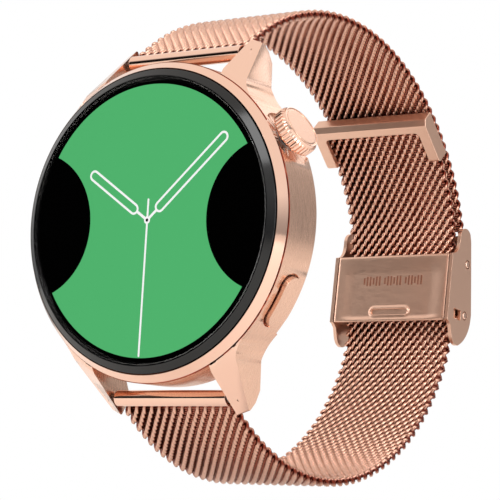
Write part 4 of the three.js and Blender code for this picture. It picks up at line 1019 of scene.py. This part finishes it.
def build_strap(sizes, look, name, line, parts, start_room, end_room):
    """The woven part of one strap, in a few pieces that follow each other."""
    tree = bpy.data.node_groups.get("woven_rows") or weave_tree()
    whole = sum((b - a).length for a, b in zip(line, line[1:])) - start_room - end_room
    gap = 2 * sizes.row_spacing / MM
    count = int(whole / gap)
    step = whole / count
    places = [along(line, start_room + (i + 0.5) * step) for i in range(count)]
    for part in range(parts):
        chosen = places[count * part // parts : count * (part + 1) // parts]
        path = line_object("path", [(0.0, p.x, p.y) for p in chosen], False)
        woven = line_object("wire", wire_loop(sizes), True, core_wires(sizes))
        through_nodes(
            woven,
            tree,
            {
                "Path": path,
                "Wire Radius": sizes.wire_radius,
                "Wire Sides": 6,
                "Half Thickness": STRAP_HALF_THICKNESS * MM,
                "Wire Material": look("wire"),
            },
        )
        bpy.data.objects.remove(path)
        woven.data.transform(Matrix.Scale(1 / MM, 4))
        stands_for = [f"{name}_strap_mesh"] if part == 0 else ()
        finished(
            woven, f"{name}_weave_{part + 1}", look("wire"), f"{name}_strap", stands_for, 180,
            weighted=False,
        )


def lower_line():
    """The centre line of the lower strap, from its tube to its free end above the clasp."""
    angles = [-128 + (46.6 + 128) * i / 18 for i in range(19)]
    return centripetal(strap_points(LOWER_LOOP, -1, angles, True))


def upper_line():
    """The centre line of the upper strap, from its tube to its end block."""
    end = math.degrees(math.asin((3.0 + 3.2 + 0.6 - UPPER_LOOP[1]) / UPPER_LOOP[3]))
    angles = [128 + (end - 128) * i / 12 for i in range(13)]
    return centripetal(strap_points(UPPER_LOOP, 1, angles, False))


def build_straps(sizes, look):
    """Both woven halves, each in two pieces that follow each other."""
    build_strap(sizes, look, "lower", lower_line(), 2, 0.25, 0.5)
    build_strap(sizes, look, "upper", upper_line(), 2, 0.25, 0.35)


def build_tubes(sizes, look):
    """The end tubes, with the slot for each release lever."""
    for name, side in (("upper", 1), ("lower", -1)):
        half, bore, out = TUBE_HALF, TUBE_BORE, TUBE_RADIUS
        end = [(bore, half), (out - 0.12, half), (out - 0.03, half - 0.04), (out, half - 0.13)]
        tube = turned_x([(r, -x) for r, x in end] + end[::-1], 96, TUBE_Y, side * TUBE_Z)
        lean = math.radians(115 if side > 0 else 65)
        slot = moved(
            box(-7.4, -6.2 + 1.2, -0.45, 0.45, 0, 2.2),
            Matrix.Translation((0, TUBE_Y, side * TUBE_Z)) @ Matrix.Rotation(-lean, 4, "X"),
        )
        cut(tube, slot)
        finished(tube, f"{name}_tube", look("polish"), f"{name}_strap", [f"{name}_end_tube"], 40)


def coil_spring(low, high, turns, radius, wire, y, z):
    """A round wire wound about an axis along X, between two places on it."""
    curve = bpy.data.curves.new("coil", "CURVE")
    curve.dimensions, curve.bevel_depth, curve.bevel_resolution, curve.use_fill_caps = "3D", wire, 2, True
    count = turns * COIL_STEPS
    line = curve.splines.new("POLY")
    line.points.add(count)
    for i, point in enumerate(line.points):
        turn = 2 * math.pi * i / COIL_STEPS
        x = low + wire + (high - low - 2 * wire) * i / count
        point.co = (x, y + radius * math.cos(turn), z + radius * math.sin(turn), 1)
    return evaluated_copy(placed("coil", curve))


def evaluated_copy(holder):
    """A curve object's shape as a mesh object; the curve goes."""
    mesh = bpy.data.meshes.new_from_object(holder.evaluated_get(bpy.context.evaluated_depsgraph_get()))
    bpy.data.objects.remove(holder)
    return placed("coil", mesh)


def build_springs(sizes, look):
    """The coil that holds each release pin out, pressed together as the pin slides in."""
    for name, side in (("upper", 1), ("lower", -1)):
        coil = coil_spring(*COIL_ENDS, COIL_TURNS, COIL_RADIUS, COIL_WIRE, TUBE_Y, side * TUBE_Z)
        finished(
            coil, f"{name}_coil", look("steel"), f"{name}_strap", [f"{name}_bar_spring"], 180,
            weighted=False,
        )
        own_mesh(coil)


def build_keeper(sizes, look):
    """The U-shaped frame on the lower strap's free end."""
    line = lower_line()
    end, tangent = line[-1], (line[-1] - line[-2]).normalized()
    turn = math.atan2(-tangent.x, tangent.y)
    block = prism_x(
        [(0.85, 1.2), (-1.2, 1.2), (-2.0, 0.3), (-2.0, -6.2), (-1.9, -6.55), (-1.65, -6.8), (-1.3, -6.9), (0.85, -6.9)],
        -10.95, 10.95,
    )
    room = box(-10.3, 10.3, -1.1, 2.9, -40, 0.3)
    corners = [*arc(8.25, -1.8, 0.8, 0, 90, 10), *arc(-8.25, -1.8, 0.8, 90, 180, 10)]
    window = prism_y([(-9.05, -40), (9.05, -40), *corners], -3.1, 2)
    keeper = softened(cut(block, room, window), 0.13, 3)
    moved(keeper, Matrix.Translation((0, end.x, end.y)) @ Matrix.Rotation(turn, 4, "X"))
    finished(keeper, "keeper_frame", look("clasp"), "lower_strap", ["strap_end_cap"])


# ---- The clasp ----


def wall_outline():
    """The side wall's outline as (y, z), from its lower front corner."""
    return [
        (55.0, -8.3),
        (56.3, 2.8),
        *bend((56.8, 2.9), (58.3, 3.1), (58.6, 5.2), 10),
        *arc(60.4, 5.6, 1.75, 170, 30, 16),
        (62.2, 5.3),
        (62.5, -0.7),
        (62.75, -6.9),
        *bend((62.5, -8.2), (61.6, -11.2), (58.6, -12.3), 14),
        *bend((58.0, -12.3), (56.6, -12.0), (56.3, -10.2), 8),
        (56.1, -9.2),
        (55.5, -8.5),
    ]


def build_clasp(sizes, look):
    """The two walls with the web between them, and the two pins through them."""
    walls = [prism_x(wall_outline(), side * WALL_INNER_X, side * WALL_OUTER_X) for side in (1, -1)]
    web = box(-11.0, 11.0, 60.25, 60.85, -5.6, 0.1)
    window = prism_x([(-1.15, -0.85), (1.15, -0.85), (1.15, 0.85), (-1.15, 0.85)], -14, 14)
    moved(window, Matrix.Translation((0, *LATCH_WINDOW)) @ Matrix.Rotation(-0.12, 4, "X"))
    body = cut(
        joined(web, *walls),
        rod_x(0.75, -13, 13, *UPPER_PIN),
        rod_x(0.75, -13, 13, *CATCH_PIN),
        rod_x(0.5, -11.3, 11.3, *PLATE_HINGE),
        window,
    )
    body = softened(body, sizes.clasp_edge / MM, 3)
    finished(body, "clasp_walls", look("clasp"), "clasp", ["clasp_frame"])
    for name, node, place in (("cross_pin", "clasp_cross_pin", UPPER_PIN), ("catch_pin", "clasp_catch_pin", CATCH_PIN)):
        side = [(0, 11.55), (0.42, 11.55), (0.53, 11.5), (0.6, 11.4)]
        pin = turned_x(side + [(r, -x) for r, x in reversed(side)], 48, *place)
        finished(pin, name, look("polish"), "clasp", [node], 50)


def build_plate(sizes, look):
    """The lock plate: a dished front with a soft border and a raised rim round its pry slot."""
    half, across, down = PLATE_HALF, 107, 56
    up = (Vector(PLATE_TOP) - Vector(PLATE_BOTTOM)).normalized()
    tall = (Vector(PLATE_TOP) - Vector(PLATE_BOTTOM)).length
    inward = Vector((up.y, -up.x))
    dish = sizes.plate_dish / MM
    slot_at, slot_half, slot_long = 1.6, 0.5, 3.5

    def depth(x, s):
        border = min(half - abs(x), s, tall - s)
        share = min(max((half - abs(x) - 0.5) / 3.0, 0.0), 1.0) * min(max((tall - s - 0.15) / 3.0, 0.0), 1.0)
        share *= min(max((s - 0.1) / 0.8, 0.0), 1.0)
        sunk = dish * share * share * (3 - 2 * share)
        to_slot = math.hypot(max(abs(x) - (slot_long - slot_half), 0.0), s - slot_at) - slot_half
        rim = max(1.0 - abs(to_slot - 0.2) / 0.24, 0.0)
        edge = max(0.12 - border, 0.0) ** 2 * 6
        return sunk * (1 - rim * rim * (3 - 2 * rim) * 0.9) + edge

    points, faces = [], []
    for back in (False, True):
        for j in range(down + 1):
            for i in range(across + 1):
                x, s = -half + 2 * half * i / across, tall * j / down
                y, z = Vector(PLATE_BOTTOM) + up * s + inward * (PLATE_THICKNESS if back else depth(x, s))
                points.append((x, y, z))
    width = across + 1
    layer = width * (down + 1)

    def at(back, j, i):
        return back * layer + j * width + i

    for j in range(down):
        for i in range(across):
            quad = [(j, i), (j, i + 1), (j + 1, i + 1), (j + 1, i)]
            faces.append([at(0, *q) for q in quad])
            faces.append([at(1, *q) for q in reversed(quad)])
    for i in range(across):
        for j in (0, down):
            faces.append([at(0, j, i), at(0, j, i + 1), at(1, j, i + 1), at(1, j, i)])
    for j in range(down):
        for i in (0, across):
            faces.append([at(0, j, i), at(0, j + 1, i), at(1, j + 1, i), at(1, j, i)])
    plate = from_faces("plate", points, faces)
    lean = math.atan2(PLATE_TOP[0] - PLATE_BOTTOM[0], PLATE_TOP[1] - PLATE_BOTTOM[1])
    middle = Vector(PLATE_BOTTOM) + up * slot_at
    slot = prism_y([(b, a) for a, b in oblong(2 * slot_half, 2 * slot_long, 16)], -3, 0.34)
    moved(slot, Matrix.Translation((0, *middle)) @ Matrix.Rotation(-lean, 4, "X"))
    cut(plate, slot)
    cheek = [(55.2, -8.3), (56.0, -4.6), (58.8, -6.0), (58.8, -8.3)]
    parts = [rod_x(KNUCKLE_RADIUS, -half, half, *PLATE_HINGE)]
    for side in (1, -1):
        parts.append(prism_x(cheek, side * (half - 0.4), side * half))
        parts.append(box(*sorted((side * (half - 0.1), side * (half + 0.12))), 57.4, 58.6, -7.65, -6.65))
    plate = cut(joined(plate, *parts), rod_x(PIN_BORE, -13, 13, *PLATE_HINGE))
    finished(plate, "lock_cover_plate", look("clasp"), "lock", ["lock_plate"], 40)
    # A plain row of stamped bars where a maker would put a mark.
    bars = [(-5.4 + 0.6 * k + 0.45 * (k // 6), 0.8 if k % 3 else 0.55) for k in range(18)]
    points, faces = [], []
    for x, high in bars:
        for s in (6.9 - high, 6.9 + high):
            for dx in (-0.15, 0.15):
                for n in (dish - 0.012, dish + 0.1):
                    y, z = Vector(PLATE_BOTTOM) + up * s + inward * n
                    points.append((x + dx, y, z))
        b = len(points) - 8
        for quad in ((0, 1, 3, 2), (4, 5, 7, 6), (0, 1, 5, 4), (2, 3, 7, 6), (0, 2, 6, 4), (1, 3, 7, 5)):
            faces.append([b + q for q in quad])
    stamp = from_faces("stamp", points, faces)
    finished(stamp, "stamped_bars", look("stamp"), "lock", (), 30)


def build_cover(sizes, look):
    """The fold-over cover with its hook lip and knuckles, and the end block that it hinges on."""
    outline = [
        (62.55, 4.3), (63.15, 4.3), (63.01, -2.0), (62.2, -9.4), (62.0, -9.65), (60.65, -9.65), (60.65, -9.05),
        (61.6, -9.05), (62.4, -2.0),
    ]
    cover = prism_x(outline, -COVER_HALF, COVER_HALF)
    ends = (4.3, COVER_HALF)
    knuckles = [rod_x(KNUCKLE_RADIUS, *sorted(side * x for x in ends), *COVER_HINGE) for side in (1, -1)]
    room = box(-4.3, 4.3, 59.35, 65.35, 3.2, 7.3)
    cover = cut(joined(cover, *knuckles), room, rod_x(PIN_BORE, -13, 13, *COVER_HINGE))
    finished(softened(cover, 0.08, 3), "fold_over_cover", look("clasp"), "cover", ["clasp_cover"])
    end = upper_line()[-1]
    inner = end.x - STRAP_HALF_THICKNESS - 0.5
    bar = joined(
        box(-10, 10, inner, 62.35 - 1.1, 3.0, 6.2),
        box(-10, 10, inner, end.x + 0.85, 4.3 + 1.1, 6.2),
        rod_x(KNUCKLE_RADIUS, -4, 4, *COVER_HINGE),
        box(-4, 4, inner + 0.2, 62.35, 3.5, 5.1),
    )
    cut(bar, rod_x(PIN_BORE, -13, 13, *COVER_HINGE))
    finished(softened(bar, 0.08, 2), "upper_end_block", look("clasp"), "upper_strap", ["upper_end_bar"])


# The CAD's own small and inner pieces that stay as they are, and what each is made of.
KEPT = {
    "steel": [
        "vibration_motor", "crown_stem", "crown_bush", "crown_carrier", "button_plunger", "upper_spring_bar",
        "lower_spring_bar", "upper_release_pin", "lower_release_pin", "lock_hinge_pin", "cover_hinge_pin",
    ],
    "plastic": ["display_tray", "speaker", "crown_switch", "button_switch"],
    "board": ["main_board", "sensor_board"],
    "foil": ["battery"],
    "rubber": ["back_gasket", "crown_o_ring", "button_seal"],
}


def build_insides(sizes, look):
    """Gives the pieces that keep the CAD's shape their materials."""
    for key, names in KEPT.items():
        for name in names:
            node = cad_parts[name]
            node.data.materials.clear()
            node.data.materials.append(look(key))


# ---- The stage ----

CAMERA_AT = (203.30, -272.81, -43.17)
CAMERA_AIM = (3.17, 10.12, -1.90)
CAMERA_ROLL = 2.18
CAMERA_LENS = 167.04
FLOOR_Z = -45.5
BACKDROP_STRENGTH = 1.0


def stage_light(name, place, aim, size, power, tint="#FFFFFF"):
    """A soft rectangular light that points at a place."""
    light = bpy.data.lights.new(name, "AREA")
    light.shape, light.size, light.size_y = "RECTANGLE", size[0] * MM, size[1] * MM
    light.energy, light.color = power, linear(tint)
    obj = placed(name, light)
    obj.location = Vector(place) * MM
    obj.rotation_euler = ((Vector(place) - Vector(aim)) * MM).to_track_quat("Z", "Y").to_euler()
    obj.visible_camera = False
    return obj


def shade_towards(tree, direction, aim, start, full, left):
    """The share of light left in directions near the aim: all of it up to one cosine, least past another."""
    facing = add_node(
        tree, "ShaderNodeVectorMath", {0: direction, 1: tuple(Vector(aim).normalized())}, operation="DOT_PRODUCT"
    )
    return add_node(
        tree, "ShaderNodeMapRange",
        {"Value": facing.outputs["Value"], "From Min": start, "From Max": full, "To Min": 1.0, "To Max": left},
        interpolation_type="SMOOTHSTEP",
    )


def product_camera():
    """The camera, rolled a little about its own line of sight."""
    place, aim = Vector(CAMERA_AT), Vector(CAMERA_AIM)
    back = (place - aim).normalized()
    turn = math.atan2(back.x, -back.y)
    right = Vector((math.cos(turn), math.sin(turn), 0))
    up = back.cross(right)
    roll = math.radians(CAMERA_ROLL)
    side, top = math.cos(roll) * right + math.sin(roll) * up, math.cos(roll) * up - math.sin(roll) * right
    camera = bpy.data.cameras.new("product_camera")
    camera.lens, camera.sensor_width, camera.clip_start, camera.clip_end = CAMERA_LENS, 36, 0.01, 10
    obj = placed("product_camera", camera)
    matrix = Matrix((side, top, back)).transposed().to_4x4()
    matrix.translation = place * MM
    obj.matrix_world = matrix
    return obj


def build_stage(sizes, look):
    """The studio's soft surroundings, its lights, the floor and the camera."""
    scene = bpy.context.scene
    world = bpy.data.worlds.new("studio")
    scene.world = world
    scene.view_settings.view_transform = "Standard"
    world.use_nodes = True
    tree = world.node_tree
    tree.nodes.clear()
    direction = tree.nodes.new("ShaderNodeTexCoord").outputs["Generated"]
    height = add_node(tree, "ShaderNodeSeparateXYZ", {0: direction}).outputs["Z"]
    upward = add_node(tree, "ShaderNodeMapRange", {"Value": height, "From Min": -1.0}).outputs[0]
    ramp = add_node(tree, "ShaderNodeValToRGB", {0: upward})
    stops = [(0.0, 0.9), (0.36, 0.7), (0.46, 0.34), (0.53, 0.45), (0.66, 0.95), (1.0, 1.0)]
    for i, (place, level) in enumerate(stops):
        stop = ramp.color_ramp.elements[i] if i < 2 else ramp.color_ramp.elements.new(place)
        warm = 1.0 - 0.12 * max(place - 0.5, 0.0) * 2
        stop.position, stop.color = place, (level, level * (0.5 + 0.5 * warm), level * warm, 1.0)
    # A dark flag where the flat glass looks, so that the display stays black.
    flag = shade_towards(tree, direction, (-0.573, -0.81, 0.118), 0.90, 0.985, 0.01)
    # A grey card behind the crown's side, so that the side faces read darker than the sloping ones.
    card = shade_towards(tree, direction, (0.36, 0.82, 0.45), 0.86, 0.97, 0.5)
    level = add_node(tree, "ShaderNodeMath", {0: flag.outputs[0], 1: card.outputs[0]}, operation="MULTIPLY")
    soft = add_node(tree, "ShaderNodeBackground", {"Color": ramp.outputs[0]})
    tree.links.new(level.outputs[0], soft.inputs["Strength"])
    white = add_node(tree, "ShaderNodeBackground", {"Color": (1.0, 1.0, 1.0, 1.0), "Strength": BACKDROP_STRENGTH})
    seen = tree.nodes.new("ShaderNodeLightPath").outputs["Is Camera Ray"]
    mix = add_node(tree, "ShaderNodeMixShader", {0: seen, 1: soft.outputs[0], 2: white.outputs[0]})
    tree.links.new(mix.outputs[0], tree.nodes.new("ShaderNodeOutputWorld").inputs["Surface"])
    middle = (0, 20, 0)
    stage_light("key_softbox", (140, -260, 260), middle, (220, 160), 0.45)
    stage_light("right_strip", (330, -20, 10), middle, (80, 260), 0.5)
    stage_light("back_top", (40, 240, 240), middle, (260, 160), 0.12)
    stage_light("left_fill", (-300, -60, 60), middle, (120, 240), 0.2)
    floor = from_faces(
        "floor", [(x * 600, y * 600 + 20, FLOOR_Z) for x, y in ((-1, -1), (1, -1), (1, 1), (-1, 1))], [[0, 1, 2, 3]]
    )
    floor.data.materials.append(plain("pale_studio_floor", linear("#F4F3F1"), 0.7))
    floor.data.transform(Matrix.Scale(MM, 4))
    scene.camera = product_camera()


# ---- Operators, panel and registration ----


def operator(name, label, description, build):
    """An operator that runs one builder on the scene's sizes and colours."""

    def execute(self, context):
        build(context.scene.watch_sizes, materials())
        return {"FINISHED"}

    return type(
        "WATCH_OT_" + name,
        (bpy.types.Operator,),
        {
            "bl_idname": "watch." + name,
            "bl_label": label,
            "__doc__": description,
            "bl_options": {"REGISTER", "UNDO"},
            "execute": execute,
        },
    )


OPERATORS = [
    operator("add_case", "Case", "Adds the case with its lugs and the polished front ring", build_case),
    operator("add_front", "Front", "Adds the bezel, the glass and the lit face", build_front),
    operator("add_back", "Back", "Adds the back lid, its screws, the contacts and the sensor window", build_back),
    operator("add_crown", "Crown", "Adds the knurled crown and its cap", build_crown),
    operator("add_button", "Button", "Adds the long side button", build_button),
    operator("add_straps", "Woven straps", "Adds both halves of the woven bracelet", build_straps),
    operator("add_tubes", "End tubes", "Adds the two strap end tubes", build_tubes),
    operator("add_springs", "Springs", "Adds the coil of each quick-release pin", build_springs),
    operator("add_keeper", "Keeper", "Adds the keeper frame on the lower strap's end", build_keeper),
    operator("add_clasp", "Clasp", "Adds the clasp's walls and its two pins", build_clasp),
    operator("add_plate", "Lock plate", "Adds the dished lock plate and its stamped pattern", build_plate),
    operator("add_cover", "Cover", "Adds the fold-over cover and the upper strap's end block", build_cover),
    operator("add_insides", "Insides", "Gives the inner pieces their materials", build_insides),
    operator("add_stage", "Stage", "Adds the floor, the lights and the camera", build_stage),
]


class WATCH_PT_panel(bpy.types.Panel):
    """Sizes, colours and builders of the watch"""

    bl_label = "Mesh bracelet smartwatch"
    bl_idname = "WATCH_PT_panel"
    bl_space_type = "VIEW_3D"
    bl_region_type = "UI"
    bl_category = "Watch"

    def draw(self, context):
        for group in (context.scene.watch_sizes, context.scene.watch_colours):
            column = self.layout.column(align=True)
            for name in group.__annotations__:
                column.prop(group, name)
        column = self.layout.column(align=True)
        for each in OPERATORS:
            column.operator(each.bl_idname)


CLASSES = [WatchSizes, WatchColours, *OPERATORS, WATCH_PT_panel]


def register():
    for each in CLASSES:
        bpy.utils.register_class(each)
    bpy.types.Scene.watch_sizes = bpy.props.PointerProperty(type=WatchSizes)
    bpy.types.Scene.watch_colours = bpy.props.PointerProperty(type=WatchColours)


def unregister():
    del bpy.types.Scene.watch_colours
    del bpy.types.Scene.watch_sizes
    for each in reversed(CLASSES):
        bpy.utils.unregister_class(each)


def main():
    register()
    for each in OPERATORS:
        group, name = each.bl_idname.split(".")
        getattr(getattr(bpy.ops, group), name)()


if __name__ == "__main__":
    main()
